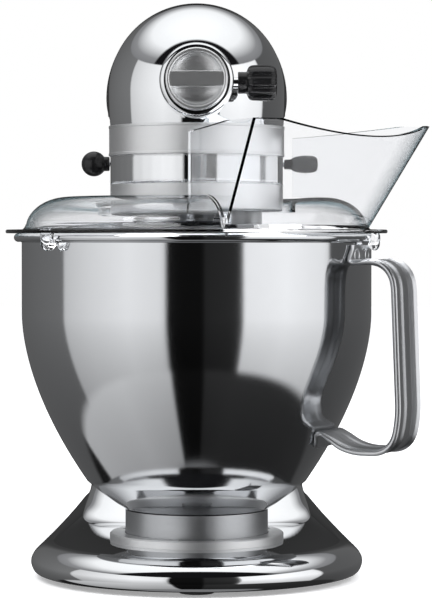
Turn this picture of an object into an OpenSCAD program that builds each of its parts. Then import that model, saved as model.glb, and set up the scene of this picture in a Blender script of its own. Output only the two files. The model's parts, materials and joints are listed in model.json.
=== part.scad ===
// Tilt-head stand mixer with a lock-on bowl, a clear pouring shield and chute,
// an attachment hub and a planetary gear train driven by a worm on the motor shaft.
// Millimetres, +Z up, front of the mixer towards -Y.

/* [Bowl] */
// How far the rolled rim stands out from the bowl's wall
rim_lip = 4.7; // [4:0.1:6]
// Height of the rim's top
rim_z = 209; // [207:0.5:210]
// Outer radius of the bowl's straight wall
bowl_r = 106.3; // [104:0.1:107]
// Height at which the wall starts to curve in
bowl_curve_z = 160; // [150:1:165]
// Thickness of the bowl's sheet
bowl_wall = 1; // [0.8:0.1:1.4]
// Outer radius of the foot ring under the bowl
bowl_foot_r = 43.5; // [42:0.1:44]
// Height of the foot ring
bowl_foot_h = 17.5; // [16:0.5:19]

/* [Bowl handle] */
// Direction of the handle, from the front towards the right
handle_turn = 64; // [55:1:75]
// Width of the handle strap
handle_w = 35; // [28:1:38]
// How far the handle stands out from the bowl's wall
handle_stand = 31.7; // [28:0.1:34]
// Thickness of the strap
handle_t = 2.6; // [2:0.1:3.2]

/* [Pouring shield] */
// How far the shield's flange stands out past the rim
flange_lip = 5; // [3:0.5:6]
// Clearance between the drip ring and the shield's bore
shield_gap = 5.5; // [4:0.5:7]
// Height of the shield's crown above the flange's underside
crown_h = 22; // [18:0.5:23]
// Wall of the clear shield
shield_wall = 2.2; // [1.8:0.1:2.6]
// Wall of the clear chute
chute_wall = 2.6; // [2:0.1:3]
// Height of the chute above the flange
chute_h = 61; // [50:1:61]
// How far the chute's mouth stands out past the flange
chute_flare = 26; // [22:0.5:28]

/* [Base and pedestal] */
// Radius of the base's round front
base_r = 101; // [98:0.5:104]
// Height of the rubber feet
foot_h = 3; // [2:0.5:4]
// Radius of the rubber feet
foot_r = 11; // [9:0.5:13]
// Height of the base's flat top
base_top = 22; // [20:0.5:22]
// Rear end of the base
base_rear = 210; // [205:1:215]
// How far the bowl clamping plate reaches past the bowl's foot
clamp_margin = 9.5; // [7.5:0.5:12]
// Height of the pedestal's top
pedestal_top = 236.5; // [235:0.5:237]
// Half the width of the pedestal's top
pedestal_half_w = 43; // [40:1:46]
// Distance of the hinge pin behind the bowl's axis
hinge_y = 160; // [156:1:164]
// Height of the hinge pin
hinge_z = 224; // [222:0.5:225]
// Radius of the hinge pin
hinge_pin_r = 4; // [3:0.5:5]
// Angle to which the head tilts back
tilt_limit = 40; // [30:1:45]

/* [Head] */
// Height of the head's long axis
head_z = 295; // [294:0.5:297]
// How far the dome stands out past the gear case
dome_proud = 1; // [0.5:0.1:2]
// Greatest radius of the head, over the motor
head_motor_r = 58.3; // [57:0.1:60]
// Rear end of the head
tail_y = 265; // [255:1:270]
// Distance from the ring gear's pitch circle to the outside of the gear case
case_margin = 8.8; // [8:0.1:9.5]
// Underside of the gear case
case_bottom = 238.5; // [238:0.1:239]
// Wall of the head's castings
head_wall = 4; // [3:0.5:5]
// Lower edge of the trim band
band_low = 256; // [255.5:0.1:257]
// Upper edge of the trim band
band_high = 274; // [272:0.5:276]
// Thickness of the trim band
band_t = 1.6; // [1.2:0.1:2]
// Height of the drip ring under the gear case
drip_h = 15.9; // [14:0.1:16]

/* [Attachment hub] */
// Height of the hub's axis
hub_z = 297; // [296:0.5:299]
// Radius of the hub boss on the head
hub_boss_r = 21.5; // [20:0.5:22]
// Front face of the hub boss
hub_front = 86; // [84:0.5:88]
// Radius of the hub's bore
hub_bore_r = 14; // [13:0.5:15]
// Radius of the hub cap
hub_cap_r = 18; // [17:0.1:20]
// Width of the square drive socket
socket_w = 13; // [12:0.5:14]
// Radius of the attachment knob
knob_r = 10.5; // [9:0.5:11]

/* [Levers] */
// Height of the lever rods
lever_z = 253.8; // [253:0.1:254]
// Distance of the lever pivots behind the bowl's axis
lever_y = 84; // [75:1:88]
// Radius of the lever rods
lever_rod_r = 1.6; // [1.2:0.1:1.8]
// Travel of the speed lever
speed_travel = 36; // [20:1:36]
// Travel of the lock lever
lock_travel = 14; // [8:1:20]
// Radius of the speed lever's knob
speed_knob_r = 8.5; // [7:0.5:9]
// Radius of the lock lever's knob
lock_knob_r = 5.6; // [5:0.1:7]

/* [Gear train] */
// Teeth of the fixed internal ring gear
ring_teeth = 46; // [44:1:46]
// Teeth of the pinion on the beater shaft
planet_teeth = 14; // [12:1:16]
// Module of the ring gear and its pinion
ring_module = 1.9; // [1.8:0.05:1.9]
// Teeth of the large gear on the centre shaft
centre_teeth = 54; // [50:1:54]
// Teeth of the intermediate pinion
inter_teeth = 14; // [13:1:15]
// Module of the centre gear and its pinion
centre_module = 1.25; // [1.2:0.05:1.25]
// Teeth of the worm wheel
wheel_teeth = 26; // [24:1:27]
// Threads of the worm
worm_starts = 3; // [2:1:3]
// Transverse module of the worm wheel
wheel_module = 1.5; // [1.4:0.05:1.55]
// Teeth of each mitre gear
mitre_teeth = 18; // [16:1:20]
// Module of the mitre gears
mitre_module = 2; // [1.8:0.1:2]
// Radius of the beater shaft
beater_shaft_r = 6.35; // [5.5:0.05:7]
// Lower end of the beater shaft
beater_shaft_end = 190; // [185:1:195]
// Side play between meshing teeth
tooth_play = 0.35; // [0.2:0.05:0.5]

/* [Motor] */
// Radius of the armature core
armature_r = 26; // [22:1:28]
// Length of the armature core
armature_len = 52; // [45:1:56]
// Outer radius of the field laminations
field_r = 45; // [42:1:47]
// Radius of the motor shaft
motor_shaft_r = 4; // [3.5:0.1:4.5]

/* [Fits] */
// Radial clearance of a shaft that turns in its bore
run_fit = 0.05; // [0.03:0.01:0.08]
// Gap between parts that lie close but don't bear on each other
gap = 0.4; // [0.3:0.05:0.6]

/* [Hidden] */
$fn = 72;
eps = 0.02;

// The bowl's wall carries the rim, the flange, the handle and the chute's mouth
rim_r = bowl_r + rim_lip;
flange_r = rim_r + flange_lip;
handle_reach = bowl_r + handle_stand;
chute_reach = flange_r + chute_flare;

// The gear case follows the ring gear in it, and the dome and the shield's bore follow the case
case_r = ring_module * ring_teeth / 2 + case_margin;
head_front_r = case_r + dome_proud;
nose_reach = head_front_r;
shield_bore_r = case_r + shield_gap;

// The flange rests on the rim, and the crown and the chute are set from it
flange_z = rim_z;
crown_z = flange_z + crown_h;
chute_z = flange_z + shield_wall + gap;
chute_top = chute_z + chute_h;

// The part's origin is on the ground, below the middle of the whole mixer
chute_rear_tip = chute_reach - 5;
axis_x = (flange_r - chute_rear_tip) / 2;
axis_y = (chute_reach - 4 - tail_y) / 2;

// Gear centres and levels
planet_offset = ring_module * (ring_teeth - planet_teeth) / 2;
inter_offset = centre_module * (centre_teeth + inter_teeth) / 2;
inter_turn = 50;
inter_x = inter_offset * cos(inter_turn);
inter_y = inter_offset * sin(inter_turn);
wheel_r = wheel_module * wheel_teeth / 2;
worm_r = inter_x - wheel_r;
worm_lead = worm_starts * PI * wheel_module;
worm_angle = atan(worm_lead / (2 * PI * worm_r));
mitre_r = mitre_module * mitre_teeth / 2;
drip_bottom = case_bottom - drip_h;

// ---------- Paths and outlines ----------

function unit(v) = v / norm(v);
function reversed(list) = [for (i = [len(list) - 1:-1:0]) list[i]];

// Points of a round corner at q, between the neighbours p and s, that starts r before q
function corner(p, q, s, r, n = 8) = [for (i = [0:n])
    let (t = i / n) q + unit(p - q) * r * pow(1 - t, 2) + unit(s - q) * r * pow(t, 2)];

// An open path of [x, y, r] points with its inner corners rounded
function rounded_path(pts) = [for (i = [0:len(pts) - 1])
    let (q = [pts[i][0], pts[i][1]])
    each (i == 0 || i == len(pts) - 1 || pts[i][2] == 0) ? [q]
        : corner([pts[i - 1][0], pts[i - 1][1]], q, [pts[i + 1][0], pts[i + 1][1]], pts[i][2])];

// The same path moved sideways by d
function shifted(path, d) = [for (i = [0:len(path) - 1])
    let (a = path[max(i - 1, 0)], b = path[min(i + 1, len(path) - 1)], t = unit(b - a))
    path[i] + d * [-t[1], t[0]]];

// A strip of the given thickness along a path
module strip(path, thickness) {
    polygon(concat(path, reversed(shifted(path, thickness))));
}

// Points of a smooth step from 0 to 1
function smooth(t) = let (c = min(1, max(0, t))) c * c * (3 - 2 * c);

// A loop through four round corners: two in front and two behind, joined by straight sides.
// Each corner is given by its centre's x and y, on the right, and its radius.
function loop(fx, fy, fr, rx, ry, rr, n = 9) =
    let (d = [rx - fx, ry - fy], b = atan2(d[1], d[0]) - acos((fr - rr) / norm(d)))
    [for (c = [[rx, ry, rr, b, 90], [-rx, ry, rr, 90, 180 - b],
               [-fx, fy, fr, 180 - b, 270], [fx, fy, fr, 270, 360 + b]])
        for (i = [0:n]) let (a = c[3] + (c[4] - c[3]) * i / n) [c[0] + c[2] * cos(a), c[1] + c[2] * sin(a)]];

// A loop set at its height, lifted towards the rear: [height, lift, fx, fy, fr, rx, ry, rr]
lift_from = 70;
lift_run = 65;
function ring_at(row) = [for (p = loop(row[2], row[3], row[4], row[5], row[6], row[7]))
    [p[0], p[1], row[0] + row[1] * smooth((p[1] - lift_from) / lift_run)]];

// A closed solid through rings of equally many points
module loft(rings) {
    n = len(rings[0]);
    last = len(rings) - 1;
    polyhedron(
        points = [for (r = rings) each r],
        faces = concat(
            [[for (i = [0:n - 1]) i]],
            [for (k = [0:last - 1], i = [0:n - 1]) each let (j = (i + 1) % n)
                [[k * n + i, (k + 1) * n + i, (k + 1) * n + j], [k * n + i, (k + 1) * n + j, k * n + j]]],
            [[for (i = [n - 1:-1:0]) last * n + i]]));
}

// ---------- Gear teeth ----------

// Angle between the tooth's centre line and its flank at radius r
function flank(r, pitch_r, base_r, half_tooth) =
    let (a = acos(min(1, base_r / r)), a0 = acos(base_r / pitch_r))
    half_tooth - (tan(a) * 180 / PI - a - (tan(a0) * 180 / PI - a0));

// Outline of an involute gear with a tooth centred on +X
function gear_pts(teeth, module_mm, addendum, dedendum, play, steps = 3) =
    let (pitch_r = module_mm * teeth / 2, base_r = pitch_r * cos(20),
         half = 90 / teeth - play / pitch_r * 90 / PI,
         tip = pitch_r + addendum, root = pitch_r - dedendum, low = max(root, base_r + 0.01))
    [for (k = [0:teeth - 1]) let (mid = 360 * k / teeth) each concat(
        root < low ? [let (a = mid - flank(low, pitch_r, base_r, half)) root * [cos(a), sin(a)]] : [],
        [for (i = [0:steps]) let (r = low + (tip - low) * i / steps,
            a = mid - flank(r, pitch_r, base_r, half)) r * [cos(a), sin(a)]],
        [for (i = [steps:-1:0]) let (r = low + (tip - low) * i / steps,
            a = mid + flank(r, pitch_r, base_r, half)) r * [cos(a), sin(a)]],
        root < low ? [let (a = mid + flank(low, pitch_r, base_r, half)) root * [cos(a), sin(a)]] : [])];

module gear_2d(teeth, module_mm, play = tooth_play, addendum = 0.9, dedendum = 1.2) {
    polygon(gear_pts(teeth, module_mm, addendum * module_mm, dedendum * module_mm, play));
}

// ---------- Placing ----------

// Everything is drawn round the bowl's axis and then moved to the part's own origin
module on_axis() { translate([axis_x, axis_y, 0]) children(); }

module rod_y(r, y0, y1, x = 0, z = 0) {
    translate([x, y0, z]) rotate([-90, 0, 0]) cylinder(r = r, h = y1 - y0);
}

module rod_x(r, x0, x1, y = 0, z = 0) {
    translate([x0, y, z]) rotate([0, 90, 0]) cylinder(r = r, h = x1 - x0);
}

// A solid of revolution about a line along Y at the height z, from [y, r] points
module revolve_y(pts, z) {
    translate([0, 0, z]) rotate([-90, 0, 0]) rotate_extrude() polygon([for (p = pts) [p[1], p[0]]]);
}

// ---------- Base and pedestal ----------

// Casting from the ground up: edge, flat top round the bowl, saddle up to the pedestal
rear_corner_x = 48;
rear_corner_r = 36;
saddle_seat = 56;
saddle_w = 59;
column_r = 30;
column_front = 109;
column_rear = 202;

function edge_row(z, lift, inset) = [z, lift, 0, 0, base_r - inset, rear_corner_x,
                                     base_rear - rear_corner_r, rear_corner_r - 0.6 * inset];

base_rows = [
    edge_row(foot_h, 0, 5), edge_row(foot_h + 3, 0, 1.5), edge_row(foot_h + 7, 0, 0),
    edge_row(foot_h + 11, 1, 1), edge_row(base_top - 4, 4, 4.5), edge_row(base_top - 1.4, 6.5, 9),
    edge_row(base_top - eps, 9, 14),
    [base_top - eps, 11, 36, 98, 38, rear_corner_x, base_rear - 38, 25.5],
    [base_top + 1.5, 14, 37, 111, 35, 46, base_rear - 38, 25.5],
    [base_top + 8, 14, 36, 120, 33, 44, base_rear - 38, 26.5],
    [base_top + 20, 9, 33, 130, 31, 36, base_rear - 38.5, 28],
    [saddle_seat, 0, saddle_w - column_r, column_front + column_r, column_r,
     saddle_w - column_r, column_rear - column_r, column_r]];

cavity_rows = [edge_row(foot_h - 1, 0, 9), edge_row(foot_h + 8, 0, 9), edge_row(base_top - 5, 0, 18)];

foot_spots = [[0, -74], [64, -36], [-64, -36], [58, 168], [-58, 168]];
bolt_spots = [for (x = [-32, 32], y = [132, 184]) [x, y]];
bolt_r = 3;
bolt_top = 75;
bolt_head_r = 5.8;
bolt_head_h = 4;

module base() {
    color("gainsboro") on_axis() difference() {
        loft([for (row = base_rows) ring_at(row)]);
        difference() {
            loft([for (row = cavity_rows) ring_at(row)]);
            for (p = foot_spots) translate([p[0], p[1], 0]) cylinder(r = foot_r + 2, h = 30);
        }
        for (p = bolt_spots) translate([p[0], p[1], 0]) cylinder(r = bolt_r + 0.4, h = bolt_top + 5);
    }
}

module feet() {
    color("#202020") on_axis() for (p = foot_spots) translate([p[0], p[1], 0]) {
        translate([0, 0, 1]) cylinder(r = foot_r, h = foot_h - 1);
        cylinder(r1 = foot_r - 1, r2 = foot_r, h = 1);
    }
}

// Bayonet plate: lugs on the bowl's foot pass its notches and turn under its lips
lug_r = bowl_foot_r + 4;
lug_h = 1.6;
lug_turn = 15;
foot_seat = base_top + 1.5;
clamp_lip = 1.5;
clamp_r = bowl_foot_r + clamp_margin;
clamp_screw_at = bowl_foot_r - 8.5;
clamp_screw_r = 2.1;
clamp_head_r = 4;
clamp_head_h = 1.2;
clamp_top = foot_seat + lug_h + gap + clamp_lip;

module clamp_plate() {
    color("silver") on_axis() difference() {
        union() {
            translate([0, 0, base_top]) cylinder(r = clamp_r, h = clamp_top - base_top - 0.8);
            translate([0, 0, clamp_top - 0.8]) cylinder(r1 = clamp_r, r2 = clamp_r - 0.8, h = 0.8);
        }
        translate([0, 0, foot_seat]) cylinder(r = lug_r + gap, h = lug_h + gap);
        translate([0, 0, foot_seat]) cylinder(r = bowl_foot_r + gap, h = 10);
        for (a = [0:120:240]) rotate([0, 0, a + 2 * lug_turn]) translate([0, 0, foot_seat])
            linear_extrude(10) intersection() {
                circle(lug_r + gap / 2);
                polygon([[0, 0], for (t = [-1:0.5:1]) 80 * [cos(t * (lug_turn - 1)), sin(t * (lug_turn - 1))]]);
            }
        translate([0, 0, base_top - 1]) cylinder(r = clamp_screw_at - 9, h = 10);
        for (a = [60:120:300]) rotate([0, 0, a]) translate([clamp_screw_at, 0, base_top - 1])
            cylinder(r = clamp_screw_r + 0.1, h = 10);
    }
}

module clamp_screws() {
    color("silver") on_axis() for (a = [60:120:300]) rotate([0, 0, a]) translate([clamp_screw_at, 0, base_top]) {
        cylinder(r = clamp_screw_r, h = foot_seat - base_top);
        translate([0, 0, foot_seat - base_top]) difference() {
            cylinder(r = clamp_head_r, h = clamp_head_h);
            translate([0, 0, clamp_head_h / 2]) cube([5, 0.9, 2], center = true);
        }
    }
}

// The pedestal's sections: [height, half width, front, rear]
column = [[saddle_seat, saddle_w, column_front, column_rear], [66, 55.5, 112.5, 201.3],
          [80, 52, 116, 200.6], [100, 49, 118.6, 200], [130, 46.4, 120.6, 200],
          [165, 44.6, 121.6, 200.6], [200, pedestal_half_w + 0.6, 122, 201.6],
          [pedestal_top, pedestal_half_w, 122, 203]];
trough_w = 44;
trough_r = 13.4;

module pedestal() {
    color("gainsboro") on_axis() difference() {
        loft([for (c = column) ring_at([c[0], 0, c[1] - column_r, c[2] + column_r, column_r,
                                        c[1] - column_r, c[3] - column_r, column_r])]);
        // The top slopes down behind the pin, as the tilted head's underside does
        translate([0, hinge_y, hinge_z]) rotate([-tilt_limit, 0, 0])
            translate([-60, -30, pedestal_top - hinge_z]) cube([120, 120, 60]);
        // Trough for the head's hinge knuckle, open above between both end positions
        translate([0, hinge_y, hinge_z]) rotate([90, 0, 90]) linear_extrude(trough_w, center = true)
            polygon(concat([[-trough_r, 40]],
                [for (a = [180:5:360 - tilt_limit]) trough_r * [cos(a), sin(a)]],
                [trough_r * [cos(tilt_limit), -sin(tilt_limit)] + 60 * [sin(tilt_limit), cos(tilt_limit)]]));
        rod_x(hinge_pin_r, -60, 60, hinge_y, hinge_z);
        for (p = bolt_spots) translate([p[0], p[1], 0]) cylinder(r = bolt_r + 0.1, h = bolt_top + 5);
    }
}

module pedestal_bolts() {
    color("silver") on_axis() for (p = bolt_spots) translate([p[0], p[1], base_top - 5]) {
        cylinder(r = bolt_r, h = bolt_top + 5 - base_top);
        translate([0, 0, -bolt_head_h]) cylinder(r = bolt_head_r, h = bolt_head_h, $fn = 6);
    }
}

module hinge_pin() {
    color("silver") on_axis() rod_x(hinge_pin_r, -40.5, 40.5, hinge_y, hinge_z);
}

// ---------- Bowl ----------

// Radius of the bowl's outside at the height z, below the straight wall
function bowl_at(z) = bowl_r - 38.6 * pow(max(0, bowl_curve_z - z) / 100, 1.765);

bowl_floor = foot_seat + bowl_foot_h;
roll_r = 2.6;
bowl_side = concat([[0, bowl_floor], [bowl_foot_r - 4, bowl_floor], [bowl_foot_r + 3, bowl_floor + 2.6],
                    [56, bowl_floor + 8.6]],
                   [for (z = [58:8:bowl_curve_z]) [bowl_at(z), z]],
                   [[bowl_r, 180], [bowl_r, rim_z - 4]]);

module bowl_shell() {
    color("#c9ccd0") on_axis() rotate_extrude() {
        strip(bowl_side, bowl_wall);
        // Rolled rim
        translate([rim_r - roll_r, rim_z - roll_r]) difference() {
            circle(roll_r);
            circle(roll_r - bowl_wall - 0.1);
        }
        translate([bowl_r - bowl_wall, rim_z - 4.4]) square([rim_lip - roll_r + bowl_wall, 2.2]);
    }
}

module bowl_foot() {
    wall = 1.6;
    color("#a9abad") on_axis() {
        rotate_extrude() {
            translate([bowl_foot_r - wall, foot_seat]) square([wall, bowl_foot_h]);
            translate([bowl_foot_r - 5, bowl_floor - wall]) square([5, wall]);
        }
        for (a = [0:120:240]) rotate([0, 0, a]) translate([0, 0, foot_seat]) linear_extrude(lug_h)
            intersection() {
                difference() {
                    circle(lug_r);
                    circle(bowl_foot_r - wall / 2);
                }
                polygon([[0, 0], for (t = [-1:0.5:1]) 80 * [cos(t * (lug_turn - 3)), sin(t * (lug_turn - 3))]]);
            }
    }
}

// The strap's path in the plane of the bowl's axis, from the upper tab to the lower one
strap_top_z = 190;
strap_low_z = 83;
strap_in = bowl_at(strap_low_z + 9) + 20;
function strap_bend(r) = min(r, (handle_reach - 6 - strap_in) / 2.2);
strap_path = rounded_path([
    [bowl_r, strap_top_z + 12, 0], [bowl_r, strap_top_z, 5],
    [handle_reach - 6, strap_top_z + 1, 16], [handle_reach - handle_t, strap_low_z + 20, 7],
    [handle_reach - 6, strap_low_z, strap_bend(11)], [strap_in, strap_low_z, strap_bend(9)],
    [bowl_at(strap_low_z + 10), strap_low_z + 11, 5], [bowl_at(strap_low_z + 1), strap_low_z, 0]]);

// The run between the bends at the two tabs
strap_run = [for (i = [9:len(strap_path) - 11]) strap_path[i]];

module bowl_handle() {
    module flat(width, path, thickness) {
        rotate([90, 0, 0]) translate([0, 0, -width / 2]) linear_extrude(width) strip(path, thickness);
    }
    color("#8d9094") on_axis() rotate([0, 0, handle_turn - 90]) difference() {
        union() {
            flat(handle_w, strap_path, handle_t);
            // Curled edges and the raised rib along the middle
            for (s = [-1, 1]) translate([0, s * (handle_w / 2 - 1.5), 0])
                flat(3, strap_run, 4.6);
            flat(11, strap_run, handle_t + 1.2);
        }
        // The tabs follow the bowl's round wall, and stay clear of it
        translate([0, 0, strap_top_z - 8]) cylinder(r = bowl_r + 0.05, h = 40);
        rotate_extrude() polygon(concat([[0, 60]], [for (z = [60:6:bowl_curve_z]) [bowl_at(z) + 0.05, z]],
                                        [[0, bowl_curve_z]]));
    }
}

// ---------- Pouring shield and chute ----------

// Height of the crown's top at the radius r
crown_edge_r = flange_r - 12;
crown_flat_r = crown_edge_r - 26;
function crown_at(r) = flange_z + shield_wall + (crown_z - flange_z - shield_wall)
    * sqrt(1 - pow(min(1, max(0, r - crown_flat_r) / (crown_edge_r - crown_flat_r)), 2));

crown_path = concat([[flange_r, flange_z + shield_wall], [crown_edge_r + 3, flange_z + shield_wall]],
                    [for (a = [8:10:88]) let (r = crown_flat_r + (crown_edge_r - crown_flat_r) * cos(a))
                        [r, crown_at(r)]],
                    [[crown_flat_r - 8, crown_z], [shield_bore_r + 4, crown_z - 0.6],
                     [shield_bore_r + 1, crown_z - 2], [shield_bore_r, crown_z - 5],
                     [shield_bore_r, crown_z - 9]]);

// Plan of the chute's two side walls: [inner end, outward direction]
chute_inner_r = shield_bore_r + 0.5;
front_wall = [[-2, -chute_inner_r], unit([41, -91])];
rear_wall = [[chute_inner_r + 3, -10], unit([966, -260])];
function wall_point(wall, s) = wall[0] + s * wall[1];

// Region between the side walls, grown by d on both sides
module chute_plan(d) {
    f = front_wall[1];
    r = rear_wall[1];
    polygon([front_wall[0] + d * [f[1], -f[0]] * 1 - 12 * f, wall_point(front_wall, 120) + d * [f[1], -f[0]],
             [150, -150], wall_point(rear_wall, 120) - d * [r[1], -r[0]],
             rear_wall[0] - d * [r[1], -r[0]] - 12 * r]);
}

module shield_collar() {
    color("#dfe8ea", 0.45) on_axis() difference() {
        rotate_extrude() strip(crown_path, shield_wall);
        // The opening that the chute pours into
        translate([0, 0, flange_z + shield_wall + 0.1]) linear_extrude(40) chute_plan(chute_wall + gap);
        translate([0, 0, flange_z - 10]) intersection() {
            linear_extrude(60) chute_plan(-2);
            cylinder(r = crown_edge_r - 1, h = 60);
        }
    }
}

chute_foot_r = crown_edge_r + 1;
chute_slope = (chute_reach - chute_foot_r) / chute_h;
chute_dip = 8;
chute_dip_r = 270;

module pouring_chute() {
    // Thickness of the sloping wall, measured along a radius
    wall_r = chute_wall * sqrt(1 + chute_slope * chute_slope);
    color("#dfe8ea", 0.45) on_axis() difference() {
        // Outside: its foot follows the crown of the shield
        intersection() {
            translate([0, 0, flange_z]) linear_extrude(chute_h + 10) chute_plan(chute_wall);
            rotate_extrude() polygon(concat(
                [for (r = [chute_inner_r:4:crown_flat_r]) [r, crown_z + gap]],
                [for (a = [88:-10:8]) let (r = crown_flat_r + (crown_edge_r - crown_flat_r) * cos(a))
                    [r, crown_at(r) + gap]],
                [[chute_foot_r, chute_z], [chute_reach, chute_top], [chute_inner_r, chute_top]]));
        }
        // Inside of the funnel
        intersection() {
            translate([0, 0, flange_z - 5]) linear_extrude(chute_h + 20) chute_plan(0);
            rotate_extrude() polygon([[10, chute_z - 5], [chute_foot_r - wall_r - 5 * chute_slope, chute_z - 5],
                                      [chute_reach - wall_r + 5 * chute_slope, chute_top + 5],
                                      [10, chute_top + 5]]);
        }
        // The mouth's edge dips in the middle
        rotate([0, 0, -43]) translate([0, 0, chute_top + chute_dip_r - chute_dip]) rotate([0, 90, 0])
            cylinder(r = chute_dip_r, h = 200);
    }
}

// ---------- Head castings ----------

motor_y = 110;
nose_power = 1;
tail_power = 2 / 2.7;
split_z = (band_low + band_high) / 2;
cover_y = 205;
wall_top = head_z - 9;
band_proud = 1;
band_seat = band_t - band_proud + 0.1;
flat_dz = head_z - band_high;

// [distance along the head, radius] of the tail at the angle a, inset by i
function tail_pt(a, i) = [motor_y + (tail_y - i - motor_y) * pow(sin(a), tail_power),
                          (head_motor_r - i) * pow(cos(a), tail_power)];

function dome_pts(i) = concat(
    [for (a = [90:-9:9]) [-(nose_reach - i) * pow(sin(a), nose_power),
                          (head_front_r - i) * pow(cos(a), nose_power)]],
    [for (y = [0:22:motor_y - 1])
        [y, head_front_r - i + (head_motor_r - head_front_r) * sin(90 * y / motor_y)]],
    [for (a = [0:9:90]) tail_pt(a, i)]);

// The underside rounds off behind the gear case
belly_r = 66;
function belly_pts(i) = concat([[-70, 0], [-70, 84 - i], [36, 84 - i]],
    [for (t = [0.1:0.2:0.9]) [36 + 64 * t, 84 - (84 - belly_r) * (3 * t * t - 2 * t * t * t) - i]],
    [for (a = [0:9:90]) let (p = tail_pt(a, i)) [p[0], p[1] * belly_r / head_motor_r]]);

// Plan of the case below the dome: round in front, straight sides, tapered tail
function tail_half(a) = let (p = tail_pt(a, 0)) [sqrt(p[1] * p[1] - flat_dz * flat_dz), p[0]];
function case_side(i) = [for (a = [18:7:74]) let (p = tail_half(a)) [p[0] - i, p[1] - i / 2]];

module case_plan(i) {
    polygon(concat([for (a = [180:7.5:360]) (case_r - i) * [cos(a), sin(a)]], case_side(i),
                   reversed([for (p = case_side(i)) [-p[0], p[1]]])));
}

module case_block(i, z0, z1) {
    intersection() {
        translate([0, 0, z0]) linear_extrude(z1 - z0) case_plan(i);
        revolve_y(belly_pts(i), head_z);
    }
}

module behind(y) { translate([-100, y, 150]) cube([200, 200, 300]); }
module over(z) { translate([-100, -150, z]) cube([200, 450, 200]); }

module dome_top(i, z) {
    intersection() {
        revolve_y(dome_pts(i), head_z);
        over(z);
    }
}

knob_y = -70;
brush_y = 144;
brush_r = 8;

module upper_housing() {
    color("gainsboro") on_axis() difference() {
        union() {
            dome_top(0, band_high);
            case_block(0, band_high, wall_top);
            case_block(band_seat, split_z, band_high);
            rod_y(hub_boss_r, -hub_front + 1, -30, 0, hub_z);
            translate([0, -hub_front + 1, hub_z]) rotate([90, 0, 0])
                cylinder(r1 = hub_boss_r, r2 = hub_boss_r - 1, h = 1);
        }
        difference() {
            union() {
                dome_top(head_wall, split_z - 1);
                case_block(head_wall, split_z - 1, wall_top);
            }
            rod_y(hub_boss_r - 2, -60, -30, 0, hub_z);
        }
        behind(cover_y);
        rod_y(hub_bore_r, -100, -20, 0, hub_z);
        rod_x(3.15 + run_fit, 5, 60, knob_y, hub_z - 1);
        rod_x(brush_r + 0.2, -80, 80, brush_y, head_z);
    }
}

lever_gap = 0.4;
slider_x = 37.5;
knuckle_r = trough_r - 0.9;

module lower_housing() {
    module slot(side, travel) {
        translate([side * (case_r - 4) - 8, lever_y - lever_rod_r - lever_gap,
                   lever_z - lever_rod_r - lever_gap])
            cube([16, travel + 2 * (lever_rod_r + lever_gap), 2 * (lever_rod_r + lever_gap)]);
    }
    color("gainsboro") on_axis() difference() {
        union() {
            difference() {
                union() {
                    case_block(0, case_bottom, band_low);
                    case_block(band_seat, band_low, split_z);
                }
                case_block(head_wall, case_bottom + head_wall, split_z + 1);
                behind(cover_y);
            }
            // Hinge knuckle
            rod_x(knuckle_r, -trough_w / 2 + 0.6, trough_w / 2 - 0.6, hinge_y, hinge_z);
            translate([-trough_w / 2 + 0.6, hinge_y - knuckle_r, hinge_z])
                cube([trough_w - 1.2, 2 * knuckle_r, case_bottom + 1 - hinge_z]);
            // Cradle under the field
            translate([-12, motor_y - 26, case_bottom + 1]) cube([24, 44, 12]);
            // Seat of the intermediate shaft
            translate([inter_x, inter_y, case_bottom + 1]) cylinder(r = 8, h = 9);
        }
        rod_y(field_r + 0.05, motor_y - 40, motor_y + 40, 0, head_z);
        rod_x(hinge_pin_r + run_fit, -60, 60, hinge_y, hinge_z);
        translate([0, 0, case_bottom - 1]) cylinder(r = 12, h = 10);
        translate([inter_x, inter_y, case_bottom + head_wall]) cylinder(r = 4 + run_fit, h = 20);
        slot(-1, speed_travel);
        slot(1, lock_travel);
    }
}

screw_y = 262;

module rear_cover() {
    color("gainsboro") on_axis() difference() {
        intersection() {
            union() {
                dome_top(0, band_high - 10);
                case_block(0, case_bottom, wall_top);
            }
            behind(cover_y + 0.1);
        }
        dome_top(head_wall, 200);
        case_block(head_wall, case_bottom + head_wall, wall_top);
        rod_y(2.6, 200, 280, 0, head_z);
        rod_y(5.3, screw_y, 280, 0, head_z);
        rod_y(gland_r + 0.1, 215, 280, gland_x, gland_z);
    }
}

module rear_cover_screw() {
    color("silver") on_axis() difference() {
        union() {
            rod_y(2.5, 184, screw_y, 0, head_z);
            rod_y(5, screw_y, tail_y - 0.6, 0, head_z);
        }
        translate([0, tail_y - 0.6, head_z]) cube([1.2, 1.6, 8], center = true);
    }
}

gland_r = 6.5;
gland_x = -20;
gland_z = 272;

module cord_gland() {
    color("#202020") on_axis() difference() {
        union() {
            rod_y(gland_r, 221, 257, gland_x, gland_z);
            rod_y(gland_r + 2, 218, 221, gland_x, gland_z);
        }
        rod_y(3.6, 200, 280, gland_x, gland_z);
    }
}

module trim_band() {
    color("#b4b6b8") on_axis() difference() {
        translate([0, 0, band_low]) linear_extrude(band_high - band_low) difference() {
            case_plan(-band_proud);
            case_plan(band_t - band_proud);
        }
        behind(cover_y);
    }
}

module drip_ring() {
    w = 1.4;
    color("#b4b6b8") on_axis() rotate_extrude() strip(
        concat([[case_r, case_bottom]],
               corner([case_r, case_bottom], [case_r, drip_bottom], [case_r - 6, drip_bottom], 2, 5),
               [[case_r - 2.4, drip_bottom]]), -w);
}

// ---------- Gear train ----------

ring_h = 8.5;
carrier_top = case_bottom - ring_h - gap;
carrier_h = carrier_top - drip_bottom - 0.6;

module ring_gear() {
    color("silver") on_axis() translate([0, 0, case_bottom - ring_h]) linear_extrude(ring_h) difference() {
        circle(case_r - 1.5);
        gear_2d(ring_teeth, ring_module, -tooth_play, 1.2, 0.8);
    }
}

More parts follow.
